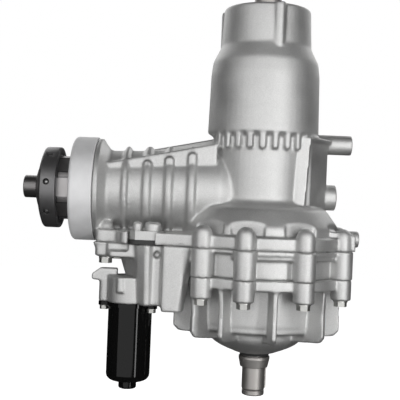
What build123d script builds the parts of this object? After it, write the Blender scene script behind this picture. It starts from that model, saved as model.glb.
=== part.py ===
from build123d import *
from math import atan, atan2, cos, degrees, hypot, pi, radians, sin, sqrt, tan
import os

os.makedirs("parts", exist_ok=True)

# Driving dimensions, in millimetres
# The support face is z = 0, the output axis is Z and the input axis runs along -X below the bell

# Fits and clearances
press_gap = 0.02
running_gap = 0.05
thread_gap = 0.02
bolt_clearance = 0.4
face_gap = 0.2
casting_gap = 2.0

# Outside of the main housing, from the support face down
neck_radius = 47.3
neck_base_radius = 49.2
neck_length = 41.5
shoulder_radius = 57.6
shoulder_drop = 17.0
shoulder_length = 31.5
bell_top_radius = 59.2
bell_radius = 60.5
bell_length = 63.0
bell_to_input_axis = 66.0
waist_top_radius = 54.0
waist_radius = 51.5
flare_top = 9.0
flare_depth = 25.0
drum_radius = 86.0
flange_drop = 42.7
main_flange_thickness = 12.9
rim_rib_count = 9
rim_rib_start = -57.8
rim_rib_pitch = 13.4
rim_rib_width = 6.4
rim_rib_drop = 18.0

# Inside of the main housing
neck_bore = 31.0
neck_bore_depth = 37.0
circlip_thickness = 2.0
circlip_depth = 1.6
piston_roof_depth = 54.0
piston_bore = 42.0
sleeve_radius = 20.0
sleeve_bore = 17.0
bell_bore = 54.5
case_bearing_lip = 40.0
case_bearing_depth = 138.0
waist_bore = 45.0
drum_bore = 78.0

# Joint flanges, their bolts and dowels
flange_radius = 92.0
bolt_circle_radius = 94.0
bolt_angles = (-41, -12, 25.5, 65, 104, 142, 180, 218)
flange_bolt_radius = 4.0
bolt_thread_depth = 16.0
bolt_across_flats = 12.0
cover_bolt_head = 6.5
cover_washer_radius = 7.6
tongue_washer_radius = 7.2
dome_radius = 9.6
pocket_wall = 3.5
pocket_foot = 17.0
pocket_head = 19.0
pocket_height = 20.0
dowel_radius = 3.0
dowel_angles = (46.5, 199.0)

# Middle housing with its tongue and shroud; each corner is x, y and a fillet radius
mid_depth = 29.7
mid_flange_thickness = 4.5
mid_boss_radius = 11.4
tongue_thickness = 14.8
tongue_recess_height = 8.4
tongue_bolts = ((-164.0, -30.0), (-158.0, 34.0))
tongue_boss_radius = 7.5
tongue_boss_drop = 16.0
tongue_body_width = 27.0
tongue_body_depth = 22.0
tongue_body_taper = 20.0
tongue_corners = (
    (-50, -76, 0), (-100, -64, 8), (-146, -60, 8), (-152, -42, 6), (-175, -40, 6),
    (-175, 42, 12), (-110, 48, 10), (-50, 76, 0),
)
mid_tongue_corners = (
    (-50, -72, 0), (-104, -52, 6), (-158, -52, 4), (-162, -40, 4), (-175, -40, 6),
    (-175, 42, 12), (-110, 48, 10), (-50, 76, 0),
)
shroud_front = 66.0
shroud_top = (
    (-154, -12, 3), (-154, -28, 6), (-130, -56, 6), (-118, -64, 4), (-112, -57, 2.5), (-104.5, -57, 2),
    (-102, -66, 4), (-76, -66, 8), (-64, -60, 4), (-58, -48, 0), (-58, -12, 0),
)
shroud_foot = (
    (-133, -12, 3), (-133, -28, 6), (-127, -52, 6), (-118, -62, 4), (-112, -57, 2.5), (-104.5, -57, 2),
    (-102, -66, 4), (-82, -66, 8), (-78, -50, 4), (-76, -30, 0), (-76, -12, 0),
)
column_foot = ((-102, -38, 0), (-102, -66, 4), (-82, -66, 8), (-78, -50, 4), (-78, -38, 0))
column_drop = 4.5
gallery_x = -108.5
gallery_z = -268.0
gallery_radius = 3.4
gallery_depth = 15.5

# End cover
cover_flange_thickness = 10.9
cover_boss_radius = 10.8
cover_boss_drop = 10.8
cover_drum_radius = 70.0
cover_drum_depth = 54.0
cover_nose_length = 31.7
cone_radius = 52.0
nose_radius = 22.5
cover_bore = 64.0
chamber_drop = 36.0
fin_angles = (-85, -51, -27.5, 8, 46.5, 85, 123, 161, 199, 240)
fin_radius = 91.0
fin_thickness = 5.5
drain_place = (-58.4, -30.0)
drain_drop = 9.0
drain_boss_radius = 8.5
drain_thread_radius = 5.0
drain_depth = 9.0

# Input arm, measured from the output axis towards -X
arm_length = 179.0
arm_root_start = 30.0
arm_root_radius = 46.5
arm_root_step = 7.5
arm_end_radius = 42.5
arm_flange_radius = 55.0
arm_flange_thickness = 6.0
arm_rib_places = (76.0, 100.0, 123.0, 146.0)
arm_rib_widths = (9.0, 9.0, 9.0, 6.0)
arm_rib_height = 4.5
arm_webs = ((-36.0, 0.0), (30.0, 10.0))
web_thickness = 6.0
web_bar_depth = 4.0
arm_bore = 34.0
arm_lip_bore = 30.5
inner_bearing_reach = 74.0

# Input bearing housing and its screws
bearing_housing_radius = 56.4
bearing_housing_length = 25.0
spigot_length = 10.0
outer_bearing_inset = 11.0
seal_inset = 9.0
seal_bore = 31.0
housing_bolt_circle = 46.0
housing_bolt_count = 6
housing_bolt_start = 30.0
housing_bolt_radius = 3.0
housing_thread_depth = 9.0
housing_head_radius = 5.0
housing_head_height = 6.0
housing_socket_radius = 2.9

# Tapped bosses: round the neck, then on the side block as y, height, radius, reach and thread radius
support_bolt_circle = 92.0
support_bolt_angles = (11.5, 131.5, 251.5)
support_boss_radius = 6.4
support_thread_radius = 3.4
support_thread_depth = 18.0
side_bosses = (
    (20.0, 59.8, 11.0, 101.0, 4.25),
    (16.0, 0.5, 14.2, 84.5, 5.1),
    (30.0, -45.5, 9.3, 115.0, 4.25),
)
boss_root_x = 50.0
side_thread_depth = 18.0

# Output shafts
upper_shaft_radius = 15.0
upper_shaft_reach = 35.0
upper_spline_root = 13.2
upper_spline_start = 12.0
spline_count = 28
gear_shaft_radius = 12.0
shaft_end_reach = 9.5
lower_shaft_radius = 14.0
lower_spline_root = 12.6
spline_length = 23.1
collar_radius = 17.0
collar_length = 12.2
collar_drop = 4.6
tip_length = 7.6

# Input shaft, coupling flange and nut
inner_shaft_seat = 17.5
outer_shaft_seat = 15.0
pinion_step = 150.0
coupling_spline_radius = 14.0
nut_thread_radius = 13.0
pilot_radius = 12.3
pilot_end = 259.0
coupling_hub_radius = 35.7
coupling_hub_length = 14.0
coupling_disc_radius = 44.0
coupling_disc_length = 19.0
coupling_flat = 33.8
coupling_flat_count = 8
coupling_hole_radius = 2.0
nut_recess_radius = 19.0
nut_across_flats = 30.0
nut_height = 11.0

# Bevel drive
ring_teeth = 37
pinion_teeth = 13
drive_module = 3.8
drive_face = 21.0
pressure_angle = 20.0
drive_backlash = 0.16
tooth_shift = 0.34
root_margin = 0.6
tooth_sink = 0.012
ring_back_drop = 50.0
ring_bore = 45.0
ring_flange_radius = 62.0
ring_bolt_circle = 56.0
ring_bolt_count = 10
ring_bolt_radius = 4.0
ring_bolt_depth = 14.0
ring_bolt_head = 6.0
ring_washer_radius = 7.0

# Differential
side_teeth = 16
planet_teeth = 10
planet_module = 3.0
planet_face = 9.0
differential_drop = 97.0
side_hub_radius = 18.0
side_back_reach = 26.0
planet_hub_radius = 10.6
planet_back_reach = 29.2
cross_pin_radius = 7.0
case_radius = 40.0
case_wall = 8.0
case_neck_radius = 27.5
case_neck_bore = 16.5
case_chamber_reach = 27.4
case_cover_thickness = 10.0
case_flange_thickness = 7.0
case_window_width = 30.0
case_window_height = 32.0
lower_hub_radius = 21.0

# Clutch
drum_shell_radius = 51.0
drum_shell_wall = 4.0
drum_lift = 4.0
drum_rim_rise = 9.0
drum_floor_thickness = 5.0
drum_seat_radius = 24.0
clutch_hub_radius = 25.0
clutch_plate_thickness = 3.0
friction_plate_count = 5
friction_plate_radius = 45.0
steel_plate_bore = 27.0
pressure_plate_thickness = 5.0
thrust_bearing_height = 4.2
piston_height = 18.0
piston_travel = 1.5
piston_seal_depth = 3.2

# Bearings and seals
neck_bearing_length = 16.0
case_bearing_length = 16.0
lower_bearing_outer = 34.0
lower_bearing_length = 16.0
lower_bearing_gap = 2.0
outer_bearing_outer = 31.0
inner_bearing_length = 18.0
outer_bearing_length = 17.0
roller_count = 10
roller_inset = 2.0
ring_share = 0.34
seal_recess = 4.0
seal_width = 8.0
seal_lip_radius = 22.0
lower_seal_outer = 20.5
seal_depth = 7.0

# Motor and pump
motor_x = -136.0
motor_y = -27.0
motor_radius = 23.2
motor_length = 78.5
motor_edge = 7.0
can_wall = 1.8
motor_boss_radius = 9.5
motor_boss_height = 9.0
motor_shaft_radius = 3.0
magnet_bore = 16.5
armature_slots = 8
motor_flange_thickness = 4.0
motor_screw_places = ((-164.0, -27.0), (-112.5, -43.5))
motor_screw_radius = 2.5
motor_screw_depth = 14.0
ear_radius = 6.0
pump_radius = 25.0
pump_height = 28.0
pump_joint_drop = 33.7
lug_end_x = -178.0
lug_root_x = -151.0
lug_width = 11.0
pump_post_place = (-145.0, -49.5)
pump_post_radius = 4.4
rotor_outer_radius = 15.0
rotor_height = 10.0
rotor_offset = 1.6
rotor_gap = 0.08
rotor_steps = 48
inner_lobes = 4
lobe_circle_radius = 13.4
lobe_radius = 5.0

# Pressure port
port_x = -120.0
port_y = -47.0
port_length = 35.0
port_width = 26.0
port_thread_radius = 8.5
port_depth = 14.0
port_seal_height = 4.5
port_plate_height = 9.0
port_dome_height = 9.5


def on_circle(radius, angle):
    """Point on a circle about Z; the angle is counted from the front towards +X."""
    return radius * sin(radians(angle)), -radius * cos(radians(angle))


# Heights worked out from the driving dimensions
shoulder_z = -neck_length
bell_top_z = shoulder_z - shoulder_length
bell_bottom_z = bell_top_z - bell_length
input_z = bell_bottom_z - bell_to_input_axis
flange_top_z = input_z - flange_drop
joint_z = flange_top_z - main_flange_thickness
cover_joint_z = joint_z - mid_depth
cover_flange_z = cover_joint_z - cover_flange_thickness
cover_boss_z = cover_flange_z - cover_boss_drop
cover_floor_z = cover_joint_z - cover_drum_depth
nose_z = cover_floor_z - cover_nose_length
differential_z = input_z - differential_drop
pump_joint_z = cover_joint_z - pump_joint_drop
pump_top_z = pump_joint_z + pump_height
chamber_floor_z = differential_z - chamber_drop
lower_bearing_z = chamber_floor_z - lower_bearing_length - lower_bearing_gap
drain_z = cover_floor_z - drain_drop
housing_end_x = arm_length + bearing_housing_length
outer_bearing_x = housing_end_x - outer_bearing_inset
seal_start_x = housing_end_x - seal_inset
ring_back_z = input_z - ring_back_drop
case_joint_z = ring_back_z - case_cover_thickness
case_bore = case_radius - case_wall
drum_floor_z = bell_bottom_z + drum_lift
coupling_face_x = housing_end_x + 0.6
lower_spline_end_z = nose_z - collar_drop - collar_length - spline_length
collar_z = nose_z - collar_drop
drum_rim_z = bell_top_z - drum_rim_rise
pack_start_z = drum_floor_z + drum_floor_thickness + face_gap
pack_end_z = pack_start_z + (2 * friction_plate_count + 1) * (clutch_plate_thickness + face_gap)
thrust_z = pack_end_z + pressure_plate_thickness + 0.1
piston_low_z = thrust_z + thrust_bearing_height + piston_travel + 0.2
seal_groove_z = piston_low_z + piston_height / 2 - 1.5
coupling_disc_x = coupling_face_x + coupling_hub_length
motor_top_z = pump_joint_z - motor_flange_thickness
motor_end_z = motor_top_z - motor_length
dowel_places = [on_circle(flange_radius - 5, angle) for angle in dowel_angles]
nut_seat_x = coupling_face_x + coupling_hub_length + coupling_disc_length - 4
nut_thread_end_x = nut_seat_x + nut_height + 0.4
sleeve_end_z = bell_top_z - 2
circlip_z = -neck_bore_depth + 16.2

input_axis = Axis((0, 0, input_z), (1, 0, 0))
turning_plane = Plane.XZ
joint_bolt_places = [on_circle(bolt_circle_radius, angle) for angle in bolt_angles] + list(tongue_bolts)


def outline(*corners):
    """Closed outline in the open sketch, each corner given as x, y and its fillet radius."""
    with BuildLine() as edge_line:
        FilletPolyline(*[(x, y) for x, y, _ in corners], radius=[r for _, _, r in corners], close=True)
    make_face(edge_line.edges())


def flange_lobes(radius):
    """Round lobes of the open flange sketch, one for each bolt of the circle."""
    with Locations([on_circle(bolt_circle_radius, angle) for angle in bolt_angles]):
        Circle(radius)


def export_piece(builder, name):
    """Label a finished piece and write its STEP file."""
    builder.part.label = name
    export_step(builder.part, f"parts/{name}.step")


def box_outline(low, high):
    """Plain rectangle in the open sketch from its low corner to its high corner."""
    outline((low[0], low[1], 0), (high[0], low[1], 0), (high[0], high[1], 0), (low[0], high[1], 0))


def output_ring(inner, outer, low, high, edge=0.0):
    """Ring turned about the output axis between two radii and two heights."""
    with BuildPart() as ring:
        with BuildSketch(turning_plane):
            outline((inner, low, 0), (outer, low, edge), (outer, high, edge), (inner, high, 0))
        revolve(axis=Axis.Z)
    return ring.part


def input_ring(inner, outer, low, high, edge=0.0):
    """Ring turned about the input axis between two radii and two stations along X."""
    with BuildPart() as ring:
        with BuildSketch(turning_plane):
            outline(
                (low, input_z + inner, 0),
                (low, input_z + outer, edge),
                (high, input_z + outer, edge),
                (high, input_z + inner, 0),
            )
        revolve(axis=input_axis)
    return ring.part


def hex_bolt(shank_radius, shank_length, head_across_flats, head_height, washer_radius):
    """Flanged hexagon bolt with its washer face on XY, its head below and its shank above."""
    washer_height = 0.25 * head_height
    with BuildPart() as bolt:
        with BuildSketch():
            Circle(washer_radius)
        extrude(amount=-washer_height)
        with BuildSketch(Plane.XY.offset(-washer_height)):
            RegularPolygon(head_across_flats / 2, 6, major_radius=False)
        extrude(amount=washer_height - head_height)
        with BuildSketch():
            Circle(shank_radius)
        extrude(amount=shank_length)
    return bolt.part


def roller_set(pitch_radius, roller_radius, length, end_plane):
    """Rollers of one bearing, standing on a plane square to its axis."""
    with BuildPart() as rollers:
        with BuildSketch(end_plane):
            with PolarLocations(pitch_radius, roller_count):
                Circle(roller_radius)
        extrude(amount=length)
    return rollers.part


def tooth_half_angle(radius, pitch, thickness):
    """Half angle of an involute tooth at a radius, from its thickness at the pitch radius."""
    base = pitch * cos(radians(pressure_angle))
    pitch_involute = tan(radians(pressure_angle)) - radians(pressure_angle)
    spread = max(radius / base, 1.0)
    flank = sqrt(spread * spread - 1) - atan(sqrt(spread * spread - 1))
    return thickness / (2 * pitch) + pitch_involute - flank


def bevel_gear_teeth(apex, axis, reference, teeth, cone_angle, sizes, flank_points, phase):
    """Straight bevel teeth, each lofted from the heel to the toe towards the cone's apex.

    sizes holds the cone distance, face width, addendum, dedendum and tooth thickness at the heel.
    """
    distance, face, addendum, dedendum, thickness = sizes
    pitch = distance * tan(cone_angle)
    low = pitch - dedendum - tooth_sink * distance
    high = pitch + addendum
    radii = [low] + [pitch - dedendum * 0.8 + (high - pitch + dedendum * 0.8) * i / flank_points
                     for i in range(flank_points + 1)]
    right_side = []
    for radius in radii:
        half = tooth_half_angle(radius, pitch, thickness)
        right_side.append((radius * sin(half), radius * cos(half) - pitch))
    tooth_outline = right_side + [(-x, y) for x, y in reversed(right_side)]
    toe_scale = (distance - face) / distance
    side = axis.cross(reference)
    tooth_list = []
    for index in range(teeth):
        turn = radians(phase + 360 * index / teeth)
        radial = reference * cos(turn) + side * sin(turn)
        element = axis * cos(cone_angle) + radial * sin(cone_angle)
        with BuildPart() as tooth:
            for scale in (1.0, toe_scale):
                centre = apex + element * (distance * scale)
                with BuildSketch(Plane(centre, x_dir=radial.cross(axis), z_dir=element)):
                    with BuildLine():
                        Polyline(*[(x * scale, y * scale) for x, y in tooth_outline], close=True)
                    make_face()
            loft(ruled=True)
        tooth_list.append(tooth.part)
    return tooth_list


def bevel_sizes(distance, face, module, shift, backlash):
    """Cone distance, face width, addendum, dedendum and tooth thickness of a shifted bevel gear."""
    thickness = module * (pi / 2 + 2 * shift * tan(radians(pressure_angle))) - backlash / 2
    return distance, face, (1 + shift) * module, (1.22 - shift) * module, thickness


def root_corners(cone_angle, sizes):
    """Heel and toe of the root cone, just past the teeth, as a reach along the axis and a radius."""
    distance, face, _, dedendum, _ = sizes
    corner = (
        distance * cos(cone_angle) + dedendum * sin(cone_angle),
        distance * sin(cone_angle) - dedendum * cos(cone_angle),
    )
    heel_scale = 1 + root_margin / distance
    toe_scale = 1 - (face + root_margin) / distance
    return [(corner[0] * scale, corner[1] * scale) for scale in (heel_scale, toe_scale)]


def spline_teeth(root, tip, count):
    """Trapezoid spline teeth of the open sketch, from the root circle to the tip circle."""
    Circle(root)
    half = pi * root / count / 2
    with PolarLocations(0, count):
        outline(
            (root - 0.6, -1.15 * half, 0), (tip, -0.6 * half, 0), (tip, 0.6 * half, 0),
            (root - 0.6, 1.15 * half, 0),
        )


def motor_ears(place):
    """Screw ear of the pump and motor flanges, from the motor's axis out to one screw."""
    reach = hypot(place[0] - motor_x, place[1] - motor_y)
    direction = degrees(atan2(place[1] - motor_y, place[0] - motor_x))
    with Locations(Location((motor_x, motor_y), direction)):
        with Locations((reach / 2, 0)):
            Rectangle(reach, 2 * ear_radius)
    with Locations(place):
        Circle(ear_radius)


def inner_rotor_point(turn):
    """Point on the inner pump rotor: the outer lobe circle, rolled round and set in by its radius."""
    step = radians(turn)
    lobes = inner_lobes + 1
    along = lobe_circle_radius * cos(step) + rotor_offset * cos(lobes * step)
    across = lobe_circle_radius * sin(step) + rotor_offset * sin(lobes * step)
    slope_along = -lobe_circle_radius * sin(step) - rotor_offset * lobes * sin(lobes * step)
    slope_across = lobe_circle_radius * cos(step) + rotor_offset * lobes * cos(lobes * step)
    inset = (lobe_radius + rotor_gap) / hypot(slope_along, slope_across)
    along -= slope_across * inset
    across += slope_along * inset
    return motor_x - across, motor_y + along


# Main housing: neck, bell, waist, drum and input arm in one casting
with BuildPart() as main_housing:
    with BuildSketch(turning_plane):
        outline(
            (0, 0, 0),
            (neck_radius, 0, 1.2),
            (neck_base_radius, shoulder_z, 5),
            (shoulder_radius, shoulder_z - shoulder_drop, 16),
            (bell_top_radius, bell_top_z, 10),
            (bell_radius, bell_bottom_z, 1.5),
            (waist_top_radius, bell_bottom_z - 4, 1),
            (waist_radius, input_z - flare_top, 8),
            (0.5 * (waist_radius + drum_radius) + 3, input_z - flare_top - 5, 8),
            (drum_radius, input_z - flare_depth - 8, 10),
            (drum_radius, joint_z, 0),
            (0, joint_z, 0),
        )
    revolve(axis=Axis.Z)
    # Short ribs under the rim of the bell
    for rib in range(rim_rib_count):
        angle = rim_rib_start + rib * rim_rib_pitch
        rib_plane = Plane(
            (*on_circle(waist_radius - 4, angle), bell_bottom_z),
            x_dir=(cos(radians(angle)), sin(radians(angle)), 0),
            z_dir=(*on_circle(1, angle), 0),
        )
        with BuildSketch(rib_plane):
            outline(
                (-rim_rib_width / 2, 3, 0), (-rim_rib_width / 2, -rim_rib_drop, 3),
                (rim_rib_width / 2, -rim_rib_drop, 3), (rim_rib_width / 2, 3, 0),
            )
        extrude(amount=bell_radius - waist_radius + 3)
    # Bosses for the support bolts
    for angle in support_bolt_angles:
        with BuildSketch(Plane.XY.offset(shoulder_z - 4)):
            with Locations(on_circle(support_bolt_circle / 2, angle)):
                Circle(support_boss_radius)
        extrude(amount=neck_length + 4)
    # Input arm with its end flange, ribs and two webs
    with BuildSketch(turning_plane):
        outline(
            (-arm_root_start, input_z, 0),
            (-arm_root_start, input_z + arm_root_radius - arm_root_step, 0),
            (-waist_bore - 1, input_z + arm_root_radius, 12),
            (-arm_length + arm_flange_thickness + 8, input_z + arm_end_radius, 6),
            (-arm_length + arm_flange_thickness, input_z + arm_flange_radius - 2, 0),
            (-arm_length + arm_flange_thickness, input_z + arm_flange_radius, 0),
            (-arm_length, input_z + arm_flange_radius, 1),
            (-arm_length, input_z, 0),
        )
    revolve(axis=input_axis)
    for place, width in zip(arm_rib_places, arm_rib_widths):
        slope = (arm_root_radius - arm_end_radius) / (arm_length - waist_radius)
        crest = arm_root_radius - slope * (place - waist_radius) + arm_rib_height
        with BuildSketch(turning_plane):
            outline(
                (-place - width / 2, input_z + arm_bore + 3, 0),
                (-place - width / 2, input_z + crest, 0.45 * width),
                (-place + width / 2, input_z + crest, 0.45 * width),
                (-place + width / 2, input_z + arm_bore + 3, 0),
            )
        revolve(axis=input_axis)
    for web_y, web_rise in arm_webs:
        with BuildSketch(Plane.XZ.offset(-web_y - web_thickness)):
            outline(
                (-arm_length + 2, input_z + 12, 0),
                (-arm_length + 2, input_z + 26 + web_rise, 0),
                (-50, input_z + 53 + web_rise, 1),
                (-50, input_z + 32, 4),
                (-60, input_z + 12, 0),
            )
        extrude(amount=web_thickness)
    # Rounded bars that carry the ribs up the face of the front web
    for place, width in zip(arm_rib_places, arm_rib_widths):
        bar_top = input_z + 53 - (place - 50) * 27 / (arm_length - 52) - 6
        with BuildSketch(Plane.XZ.offset(-arm_webs[0][0])):
            outline(
                (-place - width / 2, input_z + 10, 0),
                (-place - width / 2, bar_top, 0.45 * width),
                (-place + width / 2, bar_top, 0.45 * width),
                (-place + width / 2, input_z + 10, 0),
            )
        extrude(amount=web_bar_depth)
    # Machine-side block on the right with its front strip and three bosses
    with BuildSketch(Plane.XY.offset(input_z - 20)):
        outline(
            (20, -20, 0), (38, -36, 3), (50, -33, 3), (73, 6, 6), (73, 44, 8), (20, 42, 0),
        )
    extrude(amount=84)
    with BuildSketch(Plane.XY.offset(input_z + 60)):
        outline(
            (20, -20, 0), (36, -39, 3), (51, -36, 3), (76, 5, 6), (76, 46, 8), (20, 43, 0),
        )
    extrude(amount=4)
    with BuildSketch(Plane.XZ.offset(30)):
        outline(
            (34, input_z + 62, 0), (34, input_z - 8, 0), (39, input_z - 16, 2),
            (44, input_z - 8, 2), (48, input_z + 62, 0),
        )
    extrude(amount=12)
    for boss in side_bosses:
        with BuildSketch(Plane((boss_root_x, boss[0], input_z + boss[1]), x_dir=(0, 1, 0), z_dir=(1, 0, 0))):
            Circle(boss[2])
        extrude(amount=boss[3] - boss_root_x)
    # Joint flange with the tongue that reaches back under the arm
    with BuildSketch(Plane.XY.offset(joint_z)):
        Circle(flange_radius)
        flange_lobes(mid_boss_radius - 1.5)
        outline(*tongue_corners)
        with Locations((port_x, port_y)):
            Rectangle(port_length + 3, port_width + 4, mode=Mode.SUBTRACT)
    extrude(amount=main_flange_thickness)
    # Pockets in the drum above the flange that free the domed bolt bosses
    for angle in bolt_angles:
        pocket_plane = Plane(
            (*on_circle(drum_bore + pocket_wall, angle), flange_top_z),
            x_dir=(cos(radians(angle)), sin(radians(angle)), 0),
            z_dir=(*on_circle(1, angle), 0),
        )
        with BuildSketch(pocket_plane):
            outline(
                (-pocket_foot, 0, 0), (pocket_foot, 0, 0), (pocket_head, pocket_height, 3),
                (-pocket_head, pocket_height, 3),
            )
        extrude(amount=drum_radius - drum_bore + 6, mode=Mode.SUBTRACT)
    for angle in bolt_angles:
        dome_centre = (*on_circle(bolt_circle_radius, angle), flange_top_z + 1)
        with Locations(dome_centre):
            Sphere(dome_radius)
            Cylinder(dome_radius, main_flange_thickness + 1, align=(Align.CENTER, Align.CENTER, Align.MAX))
    for x, y in tongue_bolts:
        with Locations((x, y, flange_top_z + 2)):
            Sphere(tongue_boss_radius)
            Cylinder(
                tongue_boss_radius, main_flange_thickness + 2, align=(Align.CENTER, Align.CENTER, Align.MAX)
            )
    # Folded bracket that ties the side block to the end of the flange
    with BuildSketch(Plane.XZ.offset(26)):
        outline(
            (40, input_z - 16, 0), (58, input_z - 33, 8), (98, input_z - 38, 2), (98, joint_z, 0),
            (94, joint_z, 0), (94, input_z - 42, 1), (58, input_z - 38, 8), (36, input_z - 26, 0),
        )
    extrude(amount=20)
    # Neck: seal and bearing pocket, then the clutch piston's cylinder and its sleeve
    with BuildSketch(turning_plane):
        outline((0, 0, 0), (neck_bore, 0, 0), (neck_bore, -neck_bore_depth, 0), (0, -neck_bore_depth, 0))
    revolve(axis=Axis.Z, mode=Mode.SUBTRACT)
    with BuildSketch(turning_plane):
        outline(
            (0, -neck_bore_depth, 0),
            (sleeve_bore, -neck_bore_depth, 0),
            (sleeve_bore, sleeve_end_z, 0),
            (sleeve_radius, sleeve_end_z, 0),
            (sleeve_radius, -piston_roof_depth, 0),
            (piston_bore, -piston_roof_depth, 0),
            (piston_bore, bell_top_z, 0),
            (bell_bore, bell_top_z, 0),
            (bell_bore, bell_bottom_z, 0),
            (case_bearing_lip, bell_bottom_z, 0),
            (case_bearing_lip, -case_bearing_depth, 0),
            (waist_bore, -case_bearing_depth, 0),
            (waist_bore, input_z - 13.3, 0),
            (drum_bore - 4, input_z - 20.8, 0),
            (drum_bore, input_z - 27, 0),
            (drum_bore, joint_z, 0),
            (0, joint_z, 0),
        )
    revolve(axis=Axis.Z, mode=Mode.SUBTRACT)
    # Bore for the input shaft's bearings
    with BuildSketch(turning_plane):
        outline(
            (-arm_length, input_z, 0),
            (-arm_length, input_z + arm_bore, 0),
            (-inner_bearing_reach, input_z + arm_bore, 0),
            (-inner_bearing_reach, input_z + arm_lip_bore, 0),
            (-waist_bore + 15, input_z + arm_lip_bore, 0),
            (-waist_bore + 15, input_z, 0),
        )
    revolve(axis=input_axis, mode=Mode.SUBTRACT)
    # Circlip groove of the neck bearing
    with BuildSketch(turning_plane):
        box_outline((neck_bore - 1, circlip_z), (neck_bore + circlip_depth, circlip_z + circlip_thickness))
    revolve(axis=Axis.Z, mode=Mode.SUBTRACT)
    # Tapped holes
    with Locations((0, 0, 0)):
        with PolarLocations(support_bolt_circle / 2, 3, start_angle=support_bolt_angles[0] - 90):
            Hole(support_thread_radius, depth=support_thread_depth)
    for x, y in joint_bolt_places:
        with BuildSketch(Plane.XY.offset(joint_z)):
            with Locations((x, y)):
                Circle(flange_bolt_radius + thread_gap)
        extrude(amount=bolt_thread_depth, mode=Mode.SUBTRACT)
    for y, z, radius, reach, thread_radius in side_bosses:
        with BuildSketch(Plane((reach, y, input_z + z), x_dir=(0, 1, 0), z_dir=(1, 0, 0))):
            Circle(thread_radius)
        extrude(amount=-side_thread_depth, mode=Mode.SUBTRACT)
    with BuildSketch(Plane((-arm_length, 0, input_z), x_dir=(0, 1, 0), z_dir=(1, 0, 0))):
        with PolarLocations(housing_bolt_circle, housing_bolt_count, start_angle=housing_bolt_start):
            Circle(housing_bolt_radius + thread_gap)
    extrude(amount=housing_thread_depth, mode=Mode.SUBTRACT)
    with BuildSketch(Plane.XY.offset(joint_z)):
        with Locations(*dowel_places):
            Circle(dowel_radius + press_gap)
    extrude(amount=mid_flange_thickness, mode=Mode.SUBTRACT)
export_piece(main_housing, "main_housing")

# Middle housing: a short drum between the joint flanges, with the pump shroud hanging from its tongue
with BuildPart() as mid_housing:
    with BuildSketch(Plane.XY.offset(cover_joint_z)):
        Circle(drum_radius - 2)
    extrude(amount=mid_depth)
    with BuildSketch(Plane.XY.offset(joint_z)):
        Circle(flange_radius)
    extrude(amount=-mid_flange_thickness)
    with BuildSketch(Plane.XY.offset(joint_z)):
        outline(*mid_tongue_corners)
    extrude(amount=-tongue_thickness)
    # Recess under the joint at the front left corner of the tongue
    with BuildSketch(Plane.XY.offset(joint_z)):
        box_outline((-163, -60), (-139, -44))
    extrude(amount=-tongue_recess_height, mode=Mode.SUBTRACT)
    with Locations([(*on_circle(bolt_circle_radius, angle), cover_joint_z) for angle in bolt_angles]):
        Cylinder(mid_boss_radius, mid_depth, align=(Align.CENTER, Align.CENTER, Align.MIN))
    with BuildSketch(Plane.XY.offset(joint_z)):
        with Locations(*tongue_bolts):
            Circle(tongue_boss_radius)
    extrude(amount=-tongue_boss_drop)
    with BuildSketch(Plane.XY.offset(joint_z)):
        with Locations(tongue_bolts[0]):
            RectangleRounded(tongue_body_width, tongue_body_depth, 5)
    extrude(amount=-tongue_boss_drop, taper=tongue_body_taper)
    # Stiffening rib round the right-hand side
    with BuildSketch(Plane.XY.offset(joint_z - 10)):
        Circle(flange_radius - 1.5)
        with Locations((-2 * flange_radius + 60, 0)):
            Rectangle(2 * flange_radius, 2 * flange_radius, mode=Mode.SUBTRACT)
    extrude(amount=5)
    # Shroud of the pump, with a ridge and a broad front column
    for level, corners in ((joint_z, shroud_top), (pump_joint_z, shroud_foot)):
        with BuildSketch(Plane.XY.offset(level)):
            outline(*corners)
    loft(ruled=True)
    with BuildSketch(Plane.XY.offset(pump_joint_z)):
        outline(*column_foot)
    extrude(amount=-column_drop)
    # Room for the drum below, for the pump and for the differential
    with BuildSketch(Plane.XY.offset(cover_joint_z)):
        Circle(flange_radius + casting_gap)
        flange_lobes(cover_boss_radius + casting_gap)
    extrude(amount=pump_joint_z - cover_joint_z - 10, mode=Mode.SUBTRACT)
    with BuildSketch(Plane.XY.offset(pump_top_z)):
        with Locations((motor_x, motor_y)):
            Circle(pump_radius + press_gap)
    extrude(amount=pump_joint_z - pump_top_z - 1, mode=Mode.SUBTRACT)
    with BuildSketch(Plane.XY.offset(cover_joint_z)):
        Circle(drum_bore)
    extrude(amount=mid_depth, mode=Mode.SUBTRACT)
    with BuildSketch(Plane.XY.offset(cover_joint_z)):
        with Locations(*joint_bolt_places):
            Circle(flange_bolt_radius + bolt_clearance)
    extrude(amount=mid_depth, mode=Mode.SUBTRACT)
    with BuildSketch(Plane.XY.offset(joint_z)):
        with Locations(*dowel_places):
            Circle(dowel_radius + press_gap)
    extrude(amount=-mid_flange_thickness, mode=Mode.SUBTRACT)
    with BuildSketch(Plane.XY.offset(pump_joint_z)):
        with Locations(motor_screw_places[1]):
            Circle(motor_screw_radius + thread_gap)
    extrude(amount=motor_screw_depth, mode=Mode.SUBTRACT)
    with BuildSketch(Plane.XZ.offset(shroud_front)):
        with Locations((gallery_x, gallery_z)):
            Circle(gallery_radius)
    extrude(amount=-gallery_depth, mode=Mode.SUBTRACT)
    with BuildSketch(Plane.XY.offset(joint_z)):
        with Locations((port_x, port_y)):
            Circle(port_thread_radius + thread_gap)
    extrude(amount=-port_depth, mode=Mode.SUBTRACT)
export_piece(mid_housing, "mid_housing")

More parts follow.
